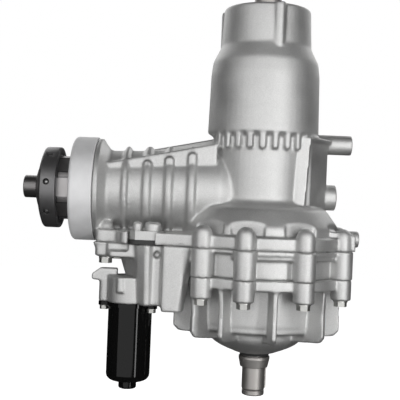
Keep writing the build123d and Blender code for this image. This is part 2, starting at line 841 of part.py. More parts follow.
# End cover: joint flange with bolt bosses, finned drum, cone and seal nose
with BuildPart() as end_cover:
    with BuildSketch(Plane.XY.offset(cover_joint_z)):
        Circle(flange_radius)
        flange_lobes(cover_boss_radius)
    extrude(amount=-cover_flange_thickness)
    with BuildSketch(Plane.XY.offset(cover_joint_z)):
        flange_lobes(cover_boss_radius)
    extrude(amount=cover_boss_z - cover_joint_z)
    with BuildSketch(turning_plane):
        outline(
            (0, cover_flange_z + 2, 0),
            (cover_drum_radius + 3, cover_flange_z + 2, 0),
            (cover_drum_radius, cover_floor_z, 6),
            (cone_radius, cover_floor_z - 1, 3),
            (cone_radius - 9, cover_floor_z - 14, 12),
            (nose_radius + 3, nose_z + 5, 4),
            (nose_radius, nose_z, 1),
            (0, nose_z, 0),
        )
    revolve(axis=Axis.Z)
    for angle in fin_angles:
        fin_plane = Plane(
            (0, 0, 0), x_dir=(*on_circle(1, angle), 0), z_dir=(-cos(radians(angle)), -sin(radians(angle)), 0)
        )
        with BuildSketch(fin_plane):
            outline(
                (nose_radius - 3, cover_flange_z + 1, 0),
                (fin_radius, cover_flange_z + 1, 0),
                (fin_radius - 2, cover_floor_z - 5, 9),
                (cone_radius + 4, cover_floor_z - 12, 8),
                (nose_radius - 3, nose_z + 10, 0),
            )
        extrude(amount=fin_thickness / 2, both=True)
    with BuildSketch(Plane.XY.offset(drain_z)):
        with Locations(drain_place):
            Circle(drain_boss_radius)
    extrude(amount=cover_floor_z - drain_z + 6)
    # Differential chamber, bearing pocket, shaft bore and seal pocket
    with BuildSketch(turning_plane):
        outline(
            (0, cover_joint_z, 0),
            (cover_bore, cover_joint_z, 0),
            (cover_bore, chamber_floor_z, 4),
            (lower_bearing_outer, chamber_floor_z, 0),
            (lower_bearing_outer, lower_bearing_z, 0),
            (sleeve_bore, lower_bearing_z, 0),
            (sleeve_bore, nose_z + seal_depth, 0),
            (lower_seal_outer, nose_z + seal_depth, 0),
            (lower_seal_outer, nose_z, 0),
            (0, nose_z, 0),
        )
    revolve(axis=Axis.Z, mode=Mode.SUBTRACT)
    with BuildSketch(Plane.XY.offset(cover_joint_z)):
        with Locations(*[on_circle(bolt_circle_radius, angle) for angle in bolt_angles]):
            Circle(flange_bolt_radius + bolt_clearance)
    extrude(amount=cover_boss_z - cover_joint_z, mode=Mode.SUBTRACT)
    with BuildSketch(Plane.XY.offset(drain_z)):
        with Locations(drain_place):
            Circle(drain_thread_radius + thread_gap)
    extrude(amount=drain_depth, mode=Mode.SUBTRACT)
export_piece(end_cover, "end_cover")

# Input bearing housing bolted to the end of the arm
with BuildPart() as input_bearing_housing:
    with BuildSketch(turning_plane):
        outline(
            (-housing_end_x, input_z + seal_bore, 0),
            (-housing_end_x, input_z + bearing_housing_radius, 4),
            (-arm_length, input_z + bearing_housing_radius, 0.8),
            (-arm_length, input_z + arm_bore - press_gap, 0),
            (-arm_length + spigot_length, input_z + arm_bore - press_gap, 0),
            (-arm_length + spigot_length, input_z + outer_bearing_outer, 0),
            (-outer_bearing_x, input_z + outer_bearing_outer, 0),
            (-outer_bearing_x, input_z + outer_bearing_outer - 4, 0),
            (-seal_start_x, input_z + outer_bearing_outer - 4, 0),
            (-seal_start_x, input_z + seal_bore, 0),
        )
    revolve(axis=input_axis)
    with BuildSketch(Plane((-housing_end_x, 0, input_z), x_dir=(0, 1, 0), z_dir=(1, 0, 0))):
        with PolarLocations(housing_bolt_circle, housing_bolt_count, start_angle=housing_bolt_start):
            Circle(housing_bolt_radius + bolt_clearance)
    extrude(amount=bearing_housing_length, mode=Mode.SUBTRACT)
    with BuildSketch(Plane((-housing_end_x, 0, input_z), x_dir=(0, 1, 0), z_dir=(1, 0, 0))):
        with PolarLocations(housing_bolt_circle, housing_bolt_count, start_angle=housing_bolt_start):
            Circle(housing_head_radius + bolt_clearance)
    extrude(amount=housing_head_height + 0.5, mode=Mode.SUBTRACT)
export_piece(input_bearing_housing, "input_bearing_housing")

# Bolts that clamp the three housings together from below
cover_bolt = hex_bolt(
    flange_bolt_radius, joint_z + bolt_thread_depth - 1 - cover_boss_z, bolt_across_flats, cover_bolt_head,
    cover_washer_radius,
)
tongue_bolt = hex_bolt(
    flange_bolt_radius, tongue_boss_drop + bolt_thread_depth - 1, bolt_across_flats, cover_bolt_head,
    tongue_washer_radius,
)
with BuildPart() as housing_bolts:
    with Locations([(*on_circle(bolt_circle_radius, angle), cover_boss_z) for angle in bolt_angles]):
        add(cover_bolt)
    with Locations([(x, y, joint_z - tongue_boss_drop) for x, y in tongue_bolts]):
        add(tongue_bolt)
export_piece(housing_bolts, "housing_bolts")

# Socket screws of the input bearing housing
head_seat = Plane((-housing_end_x + housing_head_height, 0, input_z), x_dir=(0, 1, 0), z_dir=(-1, 0, 0))
with BuildPart() as input_housing_screws:
    with BuildSketch(head_seat):
        with PolarLocations(housing_bolt_circle, housing_bolt_count, start_angle=180 - housing_bolt_start):
            Circle(housing_head_radius)
            RegularPolygon(housing_socket_radius, 6, mode=Mode.SUBTRACT)
    extrude(amount=housing_head_height)
    with BuildSketch(head_seat):
        with PolarLocations(housing_bolt_circle, housing_bolt_count, start_angle=180 - housing_bolt_start):
            Circle(housing_bolt_radius)
    extrude(amount=-(bearing_housing_length - housing_head_height + housing_thread_depth - 0.5))
export_piece(input_housing_screws, "input_housing_screws")

# Bevel drive worked out from its module and tooth counts
drive_ratio = ring_teeth / pinion_teeth
ring_pitch_radius = drive_module * ring_teeth / 2
pinion_pitch_radius = drive_module * pinion_teeth / 2
drive_distance = hypot(ring_pitch_radius, pinion_pitch_radius)
pinion_cone = atan2(pinion_pitch_radius, ring_pitch_radius)
ring_cone = atan2(ring_pitch_radius, pinion_pitch_radius)
pinion_sizes = bevel_sizes(drive_distance, drive_face, drive_module, tooth_shift, drive_backlash)
ring_sizes = bevel_sizes(drive_distance, drive_face, drive_module, -tooth_shift, drive_backlash)
input_apex = Vector(0, 0, input_z)

# Input shaft with its bevel pinion, bearing seats, spline and pilot nose
with BuildPart() as input_shaft:
    heel, toe = root_corners(pinion_cone, pinion_sizes)
    with BuildSketch(turning_plane):
        outline(
            (-toe[0], input_z, 0),
            (-toe[0], input_z + toe[1], 0),
            (-heel[0] - 0.5, input_z + heel[1], 0),
            (-inner_bearing_reach + 0.5, input_z + inner_shaft_seat + 3, 0),
            (-inner_bearing_reach, input_z + inner_shaft_seat, 0),
            (-pinion_step, input_z + inner_shaft_seat, 0),
            (-pinion_step, input_z + outer_shaft_seat, 0),
            (-outer_bearing_x, input_z + outer_shaft_seat, 0),
            (-outer_bearing_x, input_z + coupling_spline_radius, 0),
            (-nut_seat_x, input_z + coupling_spline_radius, 0),
            (-nut_seat_x, input_z + nut_thread_radius, 0),
            (-nut_thread_end_x, input_z + nut_thread_radius, 0),
            (-nut_thread_end_x, input_z + pilot_radius, 0),
            (-pilot_end, input_z + pilot_radius, 1.5),
            (-pilot_end, input_z, 0),
        )
    revolve(axis=input_axis)
    add(bevel_gear_teeth(
        input_apex, Vector(-1, 0, 0), Vector(0, 0, -1), pinion_teeth, pinion_cone, pinion_sizes, 5,
        180 / pinion_teeth,
    ))
export_piece(input_shaft, "input_shaft")

# Bevel ring gear, bolted to the differential case from below
with BuildPart() as ring_gear:
    heel, toe = root_corners(ring_cone, ring_sizes)
    with BuildSketch(turning_plane):
        outline(
            (toe[1], input_z - toe[0], 0),
            (heel[1], input_z - heel[0], 0),
            (ring_pitch_radius + 3, input_z - heel[0] - 6, 0),
            (ring_pitch_radius + 1, input_z - ring_back_drop, 1.5),
            (ring_bore, input_z - ring_back_drop, 0),
            (ring_bore, input_z - toe[0] - 5, 0),
        )
    revolve(axis=Axis.Z)
    add(bevel_gear_teeth(
        input_apex, Vector(0, 0, -1), Vector(-1, 0, 0), ring_teeth, ring_cone, ring_sizes, 3, 0,
    ))
    with BuildSketch(Plane.XY.offset(ring_back_z)):
        with PolarLocations(ring_bolt_circle, ring_bolt_count):
            Circle(ring_bolt_radius + thread_gap)
    extrude(amount=ring_bolt_depth, mode=Mode.SUBTRACT)
export_piece(ring_gear, "ring_gear")

# Upper half of the differential case: flange, spigot and the long neck that carries the clutch drum
with BuildPart() as case_cover:
    with BuildSketch(turning_plane):
        outline(
            (case_neck_bore, case_joint_z, 0),
            (case_neck_bore, differential_z + case_chamber_reach, 0),
            (case_bore - press_gap, differential_z + case_chamber_reach, 0),
            (case_bore - press_gap, case_joint_z, 0),
            (ring_flange_radius, case_joint_z, 0),
            (ring_flange_radius, ring_back_z, 1),
            (ring_bore - press_gap, ring_back_z, 0),
            (ring_bore - press_gap, ring_back_z + 5, 1),
            (case_neck_radius, ring_back_z + 8, 6),
            (case_neck_radius, drum_floor_z, 0),
            (drum_seat_radius, drum_floor_z, 0),
            (drum_seat_radius, drum_floor_z + drum_floor_thickness, 0.5),
            (case_neck_bore, drum_floor_z + drum_floor_thickness, 0),
        )
    revolve(axis=Axis.Z)
    with BuildSketch(Plane.XY.offset(case_joint_z)):
        with PolarLocations(ring_bolt_circle, ring_bolt_count):
            Circle(ring_bolt_radius + bolt_clearance)
    extrude(amount=case_cover_thickness, mode=Mode.SUBTRACT)
export_piece(case_cover, "case_cover")

# Lower half of the differential case: a windowed cup with the lower bearing hub
with BuildPart() as case_cup:
    with BuildSketch(turning_plane):
        outline(
            (case_bore, case_joint_z, 0),
            (ring_flange_radius, case_joint_z, 0),
            (ring_flange_radius, case_joint_z - case_flange_thickness, 1),
            (case_radius, case_joint_z - case_flange_thickness, 4),
            (case_radius, differential_z - case_chamber_reach - 4, 8),
            (lower_hub_radius + 5, chamber_floor_z + 1.5, 0),
            (lower_hub_radius + 5, chamber_floor_z, 0),
            (lower_hub_radius, chamber_floor_z, 0),
            (lower_hub_radius, lower_bearing_z + 0.5, 1),
            (lower_shaft_radius + running_gap, lower_bearing_z + 0.5, 0),
            (lower_shaft_radius + running_gap, differential_z - case_chamber_reach, 0),
            (case_bore, differential_z - case_chamber_reach, 2),
        )
    revolve(axis=Axis.Z)
    with BuildSketch(Plane.XZ.offset(-case_radius - 5)):
        with Locations((0, differential_z)):
            RectangleRounded(case_window_width, case_window_height, 6)
    extrude(amount=2 * case_radius + 10, mode=Mode.SUBTRACT)
    with BuildSketch(Plane.YZ.offset(-case_radius)):
        with Locations((0, differential_z)):
            Circle(cross_pin_radius + press_gap)
    extrude(amount=2 * case_radius, mode=Mode.SUBTRACT)
    with BuildSketch(Plane.XY.offset(case_joint_z)):
        with PolarLocations(ring_bolt_circle, ring_bolt_count):
            Circle(ring_bolt_radius + bolt_clearance)
    extrude(amount=-case_flange_thickness, mode=Mode.SUBTRACT)
export_piece(case_cup, "case_cup")

# Bolts that hold the case halves and the ring gear together
ring_bolt = hex_bolt(
    ring_bolt_radius, case_cover_thickness + case_flange_thickness + ring_bolt_depth - 1, bolt_across_flats,
    ring_bolt_head, ring_washer_radius,
)
with BuildPart() as ring_gear_bolts:
    with PolarLocations(ring_bolt_circle, ring_bolt_count):
        with Locations((0, 0, case_joint_z - case_flange_thickness)):
            add(ring_bolt)
export_piece(ring_gear_bolts, "ring_gear_bolts")

# Differential gears on their cross pin
side_pitch_radius = planet_module * side_teeth / 2
planet_pitch_radius = planet_module * planet_teeth / 2
planet_distance = hypot(side_pitch_radius, planet_pitch_radius)
side_cone = atan2(side_pitch_radius, planet_pitch_radius)
planet_cone = atan2(planet_pitch_radius, side_pitch_radius)
side_sizes = bevel_sizes(planet_distance, planet_face, planet_module, -tooth_shift, drive_backlash)
planet_sizes = bevel_sizes(planet_distance, planet_face, planet_module, tooth_shift, drive_backlash)
differential_centre = Vector(0, 0, differential_z)

with BuildPart() as cross_pin:
    with BuildSketch(Plane.YZ.offset(-case_radius + 1)):
        with Locations((0, differential_z)):
            Circle(cross_pin_radius)
    extrude(amount=2 * case_radius - 2)
export_piece(cross_pin, "cross_pin")

for name, up in (("upper_side_gear", 1), ("lower_side_gear", -1)):
    with BuildPart() as side_gear:
        heel, toe = root_corners(side_cone, side_sizes)
        with BuildSketch(turning_plane):
            outline(
                (gear_shaft_radius + press_gap, differential_z + up * toe[0], 0),
                (toe[1], differential_z + up * toe[0], 0),
                (heel[1], differential_z + up * heel[0], 0),
                (heel[1] - 0.5, differential_z + up * (heel[0] + 2), 0),
                (side_hub_radius, differential_z + up * side_back_reach, 1),
                (gear_shaft_radius + press_gap, differential_z + up * side_back_reach, 0),
            )
        revolve(axis=Axis.Z)
        add(bevel_gear_teeth(
            differential_centre, Vector(0, 0, up), Vector(1, 0, 0), side_teeth, side_cone, side_sizes, 3, 0,
        ))
    export_piece(side_gear, name)

for name, out in (("planet_gear_a", 1), ("planet_gear_b", -1)):
    with BuildPart() as planet_gear:
        heel, toe = root_corners(planet_cone, planet_sizes)
        with BuildSketch(turning_plane):
            outline(
                (out * toe[0], differential_z + cross_pin_radius + running_gap, 0),
                (out * toe[0], differential_z + toe[1], 0),
                (out * heel[0], differential_z + heel[1], 0),
                (out * planet_back_reach, differential_z + planet_hub_radius, 0),
                (out * planet_back_reach, differential_z + cross_pin_radius + running_gap, 0),
            )
        revolve(axis=Axis((0, 0, differential_z), (1, 0, 0)))
        add(bevel_gear_teeth(
            differential_centre, Vector(out, 0, 0), Vector(0, 0, 1), planet_teeth, planet_cone, planet_sizes,
            4, 180 / planet_teeth,
        ))
    export_piece(planet_gear, name)

# Washers that take the thrust of the side gears
with BuildPart() as side_gear_washers:
    add(output_ring(case_neck_bore + 0.3, case_bore - 6, differential_z + side_back_reach + 0.1,
                    differential_z + case_chamber_reach))
    add(output_ring(case_neck_bore + 0.3, case_bore - 6, differential_z - case_chamber_reach,
                    differential_z - side_back_reach - 0.1))
export_piece(side_gear_washers, "side_gear_washers")

# Output shafts: the plain upper stub and the splined lower end
with BuildPart() as upper_output_shaft:
    with BuildSketch(turning_plane):
        outline(
            (0, differential_z + shaft_end_reach, 0),
            (gear_shaft_radius, differential_z + shaft_end_reach, 0.8),
            (gear_shaft_radius, differential_z + side_back_reach + 0.1, 0),
            (upper_shaft_radius, differential_z + side_back_reach + 0.1, 0),
            (upper_shaft_radius, upper_spline_start, 0),
            (upper_spline_root, upper_spline_start, 0),
            (upper_spline_root, upper_shaft_reach, 1),
            (0, upper_shaft_reach, 0),
        )
    revolve(axis=Axis.Z)
    with BuildSketch(Plane.XY.offset(upper_spline_start)):
        spline_teeth(upper_spline_root, upper_shaft_radius - 0.4, spline_count)
    extrude(amount=upper_shaft_reach - upper_spline_start - 1.5)
export_piece(upper_output_shaft, "upper_output_shaft")

with BuildPart() as lower_output_shaft:
    with BuildSketch(turning_plane):
        outline(
            (0, differential_z - shaft_end_reach, 0),
            (gear_shaft_radius, differential_z - shaft_end_reach, 0.8),
            (gear_shaft_radius, differential_z - side_back_reach - 0.1, 0),
            (lower_shaft_radius, differential_z - side_back_reach - 0.1, 0),
            (lower_shaft_radius, collar_z, 0),
            (collar_radius, collar_z, 1),
            (collar_radius, collar_z - 3, 0),
            (collar_radius - 2, collar_z - collar_length, 0.8),
            (lower_spline_root, collar_z - collar_length, 0),
            (lower_spline_root, lower_spline_end_z, 0),
            (lower_spline_root - 1, lower_spline_end_z - 2.2, 0),
            (lower_spline_root - 0.4, lower_spline_end_z - 2.4, 0),
            (lower_spline_root - 0.4, lower_spline_end_z - tip_length, 1.5),
            (0, lower_spline_end_z - tip_length, 0),
        )
    revolve(axis=Axis.Z)
    with BuildSketch(Plane.XY.offset(lower_spline_end_z)):
        spline_teeth(lower_spline_root, lower_shaft_radius, spline_count)
    extrude(amount=spline_length + 0.5)
export_piece(lower_output_shaft, "lower_output_shaft")

# Clutch: drum and steel plates on the case neck, hub and lined plates on the upper shaft
with BuildPart() as clutch_drum:
    with BuildSketch(turning_plane):
        outline(
            (drum_seat_radius + press_gap, drum_floor_z, 0),
            (drum_shell_radius, drum_floor_z, 3),
            (drum_shell_radius, drum_rim_z, 0),
            (drum_shell_radius - drum_shell_wall, drum_rim_z, 0),
            (drum_shell_radius - drum_shell_wall, drum_floor_z + drum_floor_thickness, 0),
            (drum_seat_radius + press_gap, drum_floor_z + drum_floor_thickness, 0),
        )
    revolve(axis=Axis.Z)
export_piece(clutch_drum, "clutch_drum")

with BuildPart() as clutch_hub:
    with BuildSketch(turning_plane):
        outline(
            (upper_shaft_radius + press_gap, pack_start_z + 0.4, 0),
            (clutch_hub_radius, pack_start_z + 0.4, 0.5),
            (clutch_hub_radius, pack_end_z, 0.5),
            (upper_shaft_radius + press_gap, pack_end_z, 0),
        )
    revolve(axis=Axis.Z)
export_piece(clutch_hub, "clutch_hub")

plate_pitch = clutch_plate_thickness + face_gap
with BuildPart() as steel_plates:
    for plate in range(friction_plate_count + 1):
        low = pack_start_z + 2 * plate * plate_pitch
        add(output_ring(steel_plate_bore, drum_shell_radius - drum_shell_wall - running_gap, low,
                        low + clutch_plate_thickness))
export_piece(steel_plates, "steel_plates")

with BuildPart() as friction_plates:
    for plate in range(friction_plate_count):
        low = pack_start_z + (2 * plate + 1) * plate_pitch
        add(output_ring(clutch_hub_radius + running_gap, friction_plate_radius, low,
                        low + clutch_plate_thickness))
export_piece(friction_plates, "friction_plates")

with BuildPart() as pressure_plate:
    add(output_ring(steel_plate_bore, drum_shell_radius - drum_shell_wall - running_gap, pack_end_z,
                    pack_end_z + pressure_plate_thickness, edge=0.8))
export_piece(pressure_plate, "pressure_plate")

with BuildPart() as piston_thrust_bearing:
    add(output_ring(steel_plate_bore, piston_bore - 2, thrust_z, thrust_z + 1.2))
    add(output_ring(steel_plate_bore, piston_bore - 2, thrust_z + 3, thrust_z + thrust_bearing_height))
    add(output_ring(steel_plate_bore + 2, piston_bore - 4, thrust_z + 1.2, thrust_z + 3))
export_piece(piston_thrust_bearing, "piston_thrust_bearing")

# Ring-shaped clutch piston with a seal on each rim
with BuildPart() as clutch_piston:
    with BuildSketch(turning_plane):
        outline(
            (sleeve_radius + running_gap, piston_low_z, 0),
            (piston_bore - running_gap, piston_low_z, 1),
            (piston_bore - running_gap, piston_low_z + piston_height, 1),
            (sleeve_radius + running_gap, piston_low_z + piston_height, 0),
        )
    revolve(axis=Axis.Z)
    with BuildSketch(turning_plane):
        outline(
            (sleeve_radius + 7, piston_low_z + 6, 1.5),
            (piston_bore - 7, piston_low_z + 6, 1.5),
            (piston_bore - 7, piston_low_z + piston_height, 0),
            (sleeve_radius + 7, piston_low_z + piston_height, 0),
        )
        box_outline((sleeve_radius, seal_groove_z), (sleeve_radius + piston_seal_depth, seal_groove_z + 3))
        box_outline((piston_bore - piston_seal_depth, seal_groove_z), (piston_bore, seal_groove_z + 3))
    revolve(axis=Axis.Z, mode=Mode.SUBTRACT)
export_piece(clutch_piston, "clutch_piston")

with BuildPart() as piston_seals:
    add(output_ring(sleeve_radius + running_gap, sleeve_radius + piston_seal_depth - press_gap,
                    seal_groove_z + press_gap, seal_groove_z + 3 - press_gap))
    add(output_ring(piston_bore - piston_seal_depth + press_gap, piston_bore - running_gap,
                    seal_groove_z + press_gap, seal_groove_z + 3 - press_gap))
export_piece(piston_seals, "piston_seals")

# Rolling bearings: each has an inner ring, an outer ring and rollers between them
bearings = (
    ("neck_bearing", upper_shaft_radius, neck_bore, -neck_bore_depth, neck_bearing_length, output_ring),
    ("upper_case_bearing", case_neck_radius, waist_bore, -case_bearing_depth - case_bearing_length,
     case_bearing_length, output_ring),
    ("lower_case_bearing", lower_hub_radius, lower_bearing_outer, lower_bearing_z, lower_bearing_length,
     output_ring),
    ("inner_input_bearing", inner_shaft_seat, arm_bore, -inner_bearing_reach - inner_bearing_length,
     inner_bearing_length, input_ring),
    ("outer_input_bearing", outer_shaft_seat, outer_bearing_outer, -outer_bearing_x, outer_bearing_length,
     input_ring),
)
roller_groups = {"neck_bearing_rollers": [], "case_bearing_rollers": [], "input_bearing_rollers": []}
for name, inner, outer, low, length, turned in bearings:
    ring_depth = ring_share * (outer - inner)
    roller_radius = (outer - inner) / 2 - ring_depth - running_gap
    with BuildPart() as inner_ring:
        add(turned(inner + press_gap, inner + ring_depth, low, low + length))
    export_piece(inner_ring, f"{name}_inner_ring")
    with BuildPart() as outer_ring:
        add(turned(outer - ring_depth, outer - press_gap, low, low + length))
    export_piece(outer_ring, f"{name}_outer_ring")
    roller_low = low + roller_inset
    if turned is output_ring:
        end_plane = Plane.XY.offset(roller_low)
    else:
        end_plane = Plane((roller_low, 0, input_z), x_dir=(0, 1, 0), z_dir=(1, 0, 0))
    group = f"{name.split('_')[-2]}_bearing_rollers"
    roller_groups[group].append(
        roller_set((inner + outer) / 2, roller_radius, length - 2 * roller_inset, end_plane)
    )
for group, roller_sets in roller_groups.items():
    with BuildPart() as rollers:
        for rollers_of_one in roller_sets:
            add(rollers_of_one)
    export_piece(rollers, group)

# Shaft seals and the circlip that holds the neck bearing
with BuildPart() as upper_seal:
    with BuildSketch(turning_plane):
        outline(
            (upper_shaft_radius + running_gap, -seal_recess - seal_width, 0),
            (neck_bore - press_gap, -seal_recess - seal_width, 0),
            (neck_bore - press_gap, -seal_recess, 0.8),
            (neck_bore - 5, -seal_recess, 0.8),
            (upper_shaft_radius + 4, -seal_recess - 2.5, 0.8),
            (upper_shaft_radius + running_gap, -seal_recess - 0.5, 0),
        )
    revolve(axis=Axis.Z)
export_piece(upper_seal, "upper_seal")

with BuildPart() as neck_circlip:
    with BuildSketch(Plane.XY.offset(circlip_z + press_gap)):
        Circle(neck_bore + circlip_depth - press_gap)
        Circle(neck_bore - 3.2, mode=Mode.SUBTRACT)
        with Locations((neck_bore, 0)):
            Rectangle(10, 7, mode=Mode.SUBTRACT)
    extrude(amount=circlip_thickness - 2 * press_gap)
export_piece(neck_circlip, "neck_circlip")

with BuildPart() as lower_seal:
    with BuildSketch(turning_plane):
        outline(
            (lower_shaft_radius + running_gap, nose_z + seal_depth - press_gap, 0),
            (lower_seal_outer - press_gap, nose_z + seal_depth - press_gap, 0),
            (lower_seal_outer - press_gap, nose_z + 0.5, 0.5),
            (lower_shaft_radius + 2, nose_z - 2.5, 0),
            (lower_shaft_radius + 1.6, nose_z - 3.8, 0),
            (lower_shaft_radius + running_gap, nose_z - 3.8, 0),
        )
    revolve(axis=Axis.Z)
export_piece(lower_seal, "lower_seal")

with BuildPart() as input_seal:
    add(input_ring(seal_lip_radius + running_gap, seal_bore - press_gap, -housing_end_x + 0.8,
                   -seal_start_x - press_gap))
export_piece(input_seal, "input_seal")

# Spacer between the input bearings
with BuildPart() as input_bearing_spacer:
    add(input_ring(inner_shaft_seat + press_gap, inner_shaft_seat + 3,
                   -outer_bearing_x + outer_bearing_length, -inner_bearing_reach - inner_bearing_length,
                   edge=0.5))
export_piece(input_bearing_spacer, "input_bearing_spacer")

# Coupling flange on the input shaft's spline
with BuildPart() as coupling_flange:
    with BuildSketch(turning_plane):
        outline(
            (-outer_bearing_x - press_gap, input_z + coupling_spline_radius + press_gap, 0),
            (-outer_bearing_x - press_gap, input_z + seal_lip_radius, 0.5),
            (-coupling_face_x, input_z + seal_lip_radius, 0),
            (-coupling_face_x, input_z + coupling_hub_radius, 0.8),
            (-coupling_disc_x, input_z + coupling_hub_radius, 0),
            (-coupling_disc_x, input_z + coupling_disc_radius, 1.2),
            (-coupling_disc_x - coupling_disc_length + 3, input_z + coupling_disc_radius, 2.5),
            (-coupling_disc_x - coupling_disc_length - 4, input_z + nut_recess_radius + 1.5, 1),
            (-nut_seat_x, input_z + nut_recess_radius, 1.5),
            (-nut_seat_x, input_z + coupling_spline_radius + press_gap, 0),
        )
    revolve(axis=input_axis)
    # Eight milled flats on the hub and eight cross holes in the rim
    for index in range(coupling_flat_count):
        turn = radians(360 * index / coupling_flat_count)
        across = Vector(0, sin(turn), -cos(turn))
        flat_plane = Plane(
            Vector(-coupling_face_x, 0, input_z) + across * coupling_flat, x_dir=(-1, 0, 0), z_dir=across
        )
        with BuildSketch(flat_plane):
            with Locations((coupling_hub_length / 2 + 1.5, 0)):
                RectangleRounded(coupling_hub_length + 4, 23.5, 3)
        extrude(amount=coupling_hub_radius - coupling_flat + 0.5, mode=Mode.SUBTRACT)
        turn = radians(360 * (index + 0.3) / coupling_flat_count)
        across = Vector(0, sin(turn), -cos(turn))
        hole_plane = Plane(
            Vector(-coupling_disc_x - coupling_disc_length / 2, 0, input_z)
            + across * (coupling_disc_radius + 1),
            x_dir=(-1, 0, 0), z_dir=across,
        )
        with BuildSketch(hole_plane):
            Circle(coupling_hole_radius)
        extrude(amount=-9, mode=Mode.SUBTRACT)
export_piece(coupling_flange, "coupling_flange")

with BuildPart() as coupling_nut:
    with BuildSketch(Plane((-nut_seat_x, 0, input_z), x_dir=(0, 1, 0), z_dir=(-1, 0, 0))):
        Circle(nut_recess_radius - 2)
        Circle(nut_thread_radius + thread_gap, mode=Mode.SUBTRACT)
    extrude(amount=3)
    with BuildSketch(Plane((-nut_seat_x - 3, 0, input_z), x_dir=(0, 1, 0), z_dir=(-1, 0, 0))):
        RegularPolygon(nut_across_flats / 2, 6, major_radius=False)
        Circle(nut_thread_radius + thread_gap, mode=Mode.SUBTRACT)
    extrude(amount=nut_height - 3)
export_piece(coupling_nut, "coupling_nut")

# Oil pump below the tongue: body, two rotors and the motor that turns them
with BuildPart() as pump_body:
    with BuildSketch(Plane.XY.offset(pump_joint_z)):
        with Locations((motor_x, motor_y)):
            Circle(pump_radius)
    extrude(amount=pump_height)
    with BuildSketch(Plane.XY.offset(pump_joint_z)):
        motor_ears(motor_screw_places[0])
    extrude(amount=pump_height - 4)
    # Lug on the left and a small post in front
    with BuildSketch(Plane.XZ.offset(-motor_y - lug_width / 2)):
        outline(
            (lug_root_x, pump_top_z - 8, 0), (lug_end_x, pump_top_z - 5, 2), (lug_end_x, pump_top_z + 1, 2),
            (lug_end_x + 9, pump_top_z + 7.5, 2), (lug_root_x, pump_top_z + 7.5, 0),
        )
    extrude(amount=lug_width)
    with BuildSketch(Plane.XY.offset(pump_top_z - 16)):
        with Locations(pump_post_place):
            Circle(pump_post_radius)
    extrude(amount=16)
    with BuildSketch(Plane.XY.offset(pump_joint_z)):
        with Locations((motor_x, motor_y + rotor_offset)):
            Circle(rotor_outer_radius + running_gap)
    extrude(amount=rotor_height + face_gap, mode=Mode.SUBTRACT)
    with BuildSketch(Plane.XY.offset(pump_joint_z)):
        with Locations(motor_screw_places[0]):
            Circle(motor_screw_radius + thread_gap)
    extrude(amount=motor_screw_depth, mode=Mode.SUBTRACT)
    with BuildSketch(Plane.XY.offset(pump_joint_z)):
        with Locations((motor_x, motor_y)):
            Circle(motor_shaft_radius + running_gap)
    extrude(amount=rotor_height + 8, mode=Mode.SUBTRACT)
export_piece(pump_body, "pump_body")

# Lobed rotors: the inner one has one lobe fewer and turns off-centre inside the outer one
outer_centre = (motor_x, motor_y + rotor_offset)
with BuildPart() as pump_outer_rotor:
    with BuildSketch(Plane.XY.offset(pump_joint_z + face_gap / 2)):
        with Locations(outer_centre):
            Circle(lobe_circle_radius - lobe_radius + 2 * rotor_offset + rotor_gap)
            with PolarLocations(lobe_circle_radius, inner_lobes + 1, start_angle=90):
                Circle(lobe_radius, mode=Mode.SUBTRACT)
    cavity = extrude(amount=rotor_height - face_gap / 2, mode=Mode.PRIVATE)
    with BuildSketch(Plane.XY.offset(pump_joint_z + face_gap / 2)):
        with Locations(outer_centre):
            Circle(rotor_outer_radius)
    extrude(amount=rotor_height - face_gap / 2)
    add(cavity, mode=Mode.SUBTRACT)
export_piece(pump_outer_rotor, "pump_outer_rotor")

with BuildPart() as pump_inner_rotor:
    with BuildSketch(Plane.XY.offset(pump_joint_z + face_gap / 2)):
        with BuildLine():
            rotor_points = [inner_rotor_point(360 * step / rotor_steps) for step in range(rotor_steps)]
            Spline(*rotor_points, periodic=True)
        make_face()
        with Locations((motor_x, motor_y)):
            Circle(motor_shaft_radius + press_gap, mode=Mode.SUBTRACT)
    extrude(amount=rotor_height - face_gap / 2)
export_piece(pump_inner_rotor, "pump_inner_rotor")

# Motor: mounting flange, seal ring, can, magnets and the armature on its shaft
with BuildPart() as motor_flange:
    with BuildSketch(Plane.XY.offset(pump_joint_z)):
        with Locations((motor_x, motor_y)):
            Circle(pump_radius)
        for place in motor_screw_places:
            motor_ears(place)
        with Locations((motor_x, motor_y)):
            Circle(motor_shaft_radius + running_gap, mode=Mode.SUBTRACT)
        with Locations(*motor_screw_places):
            Circle(motor_screw_radius + bolt_clearance, mode=Mode.SUBTRACT)
    extrude(amount=-motor_flange_thickness)
export_piece(motor_flange, "motor_flange")

with BuildPart() as motor_screws:
    with Locations([(x, y, motor_top_z) for x, y in motor_screw_places]):
        add(hex_bolt(motor_screw_radius, motor_flange_thickness + motor_screw_depth - 1, 8, 4.5, 4.8))
export_piece(motor_screws, "motor_screws")

with BuildPart() as motor_can:
    with BuildSketch(Plane((motor_x, motor_y, 0), x_dir=(1, 0, 0), z_dir=(0, -1, 0))):
        outline(
            (motor_radius - can_wall, motor_top_z, 0),
            (motor_radius, motor_top_z, 0),
            (motor_radius, motor_end_z, motor_edge),
            (motor_boss_radius, motor_end_z, 0),
            (motor_boss_radius, motor_end_z - motor_boss_height, 2),
            (0, motor_end_z - motor_boss_height, 0),
            (0, motor_end_z - motor_boss_height + 4, 0),
            (motor_shaft_radius + running_gap, motor_end_z - motor_boss_height + 4, 0),
            (motor_shaft_radius + running_gap, motor_end_z + can_wall, 0),
            (motor_radius - can_wall, motor_end_z + can_wall, motor_edge - can_wall),
        )
    revolve(axis=Axis((motor_x, motor_y, 0), (0, 0, 1)))
export_piece(motor_can, "motor_can")

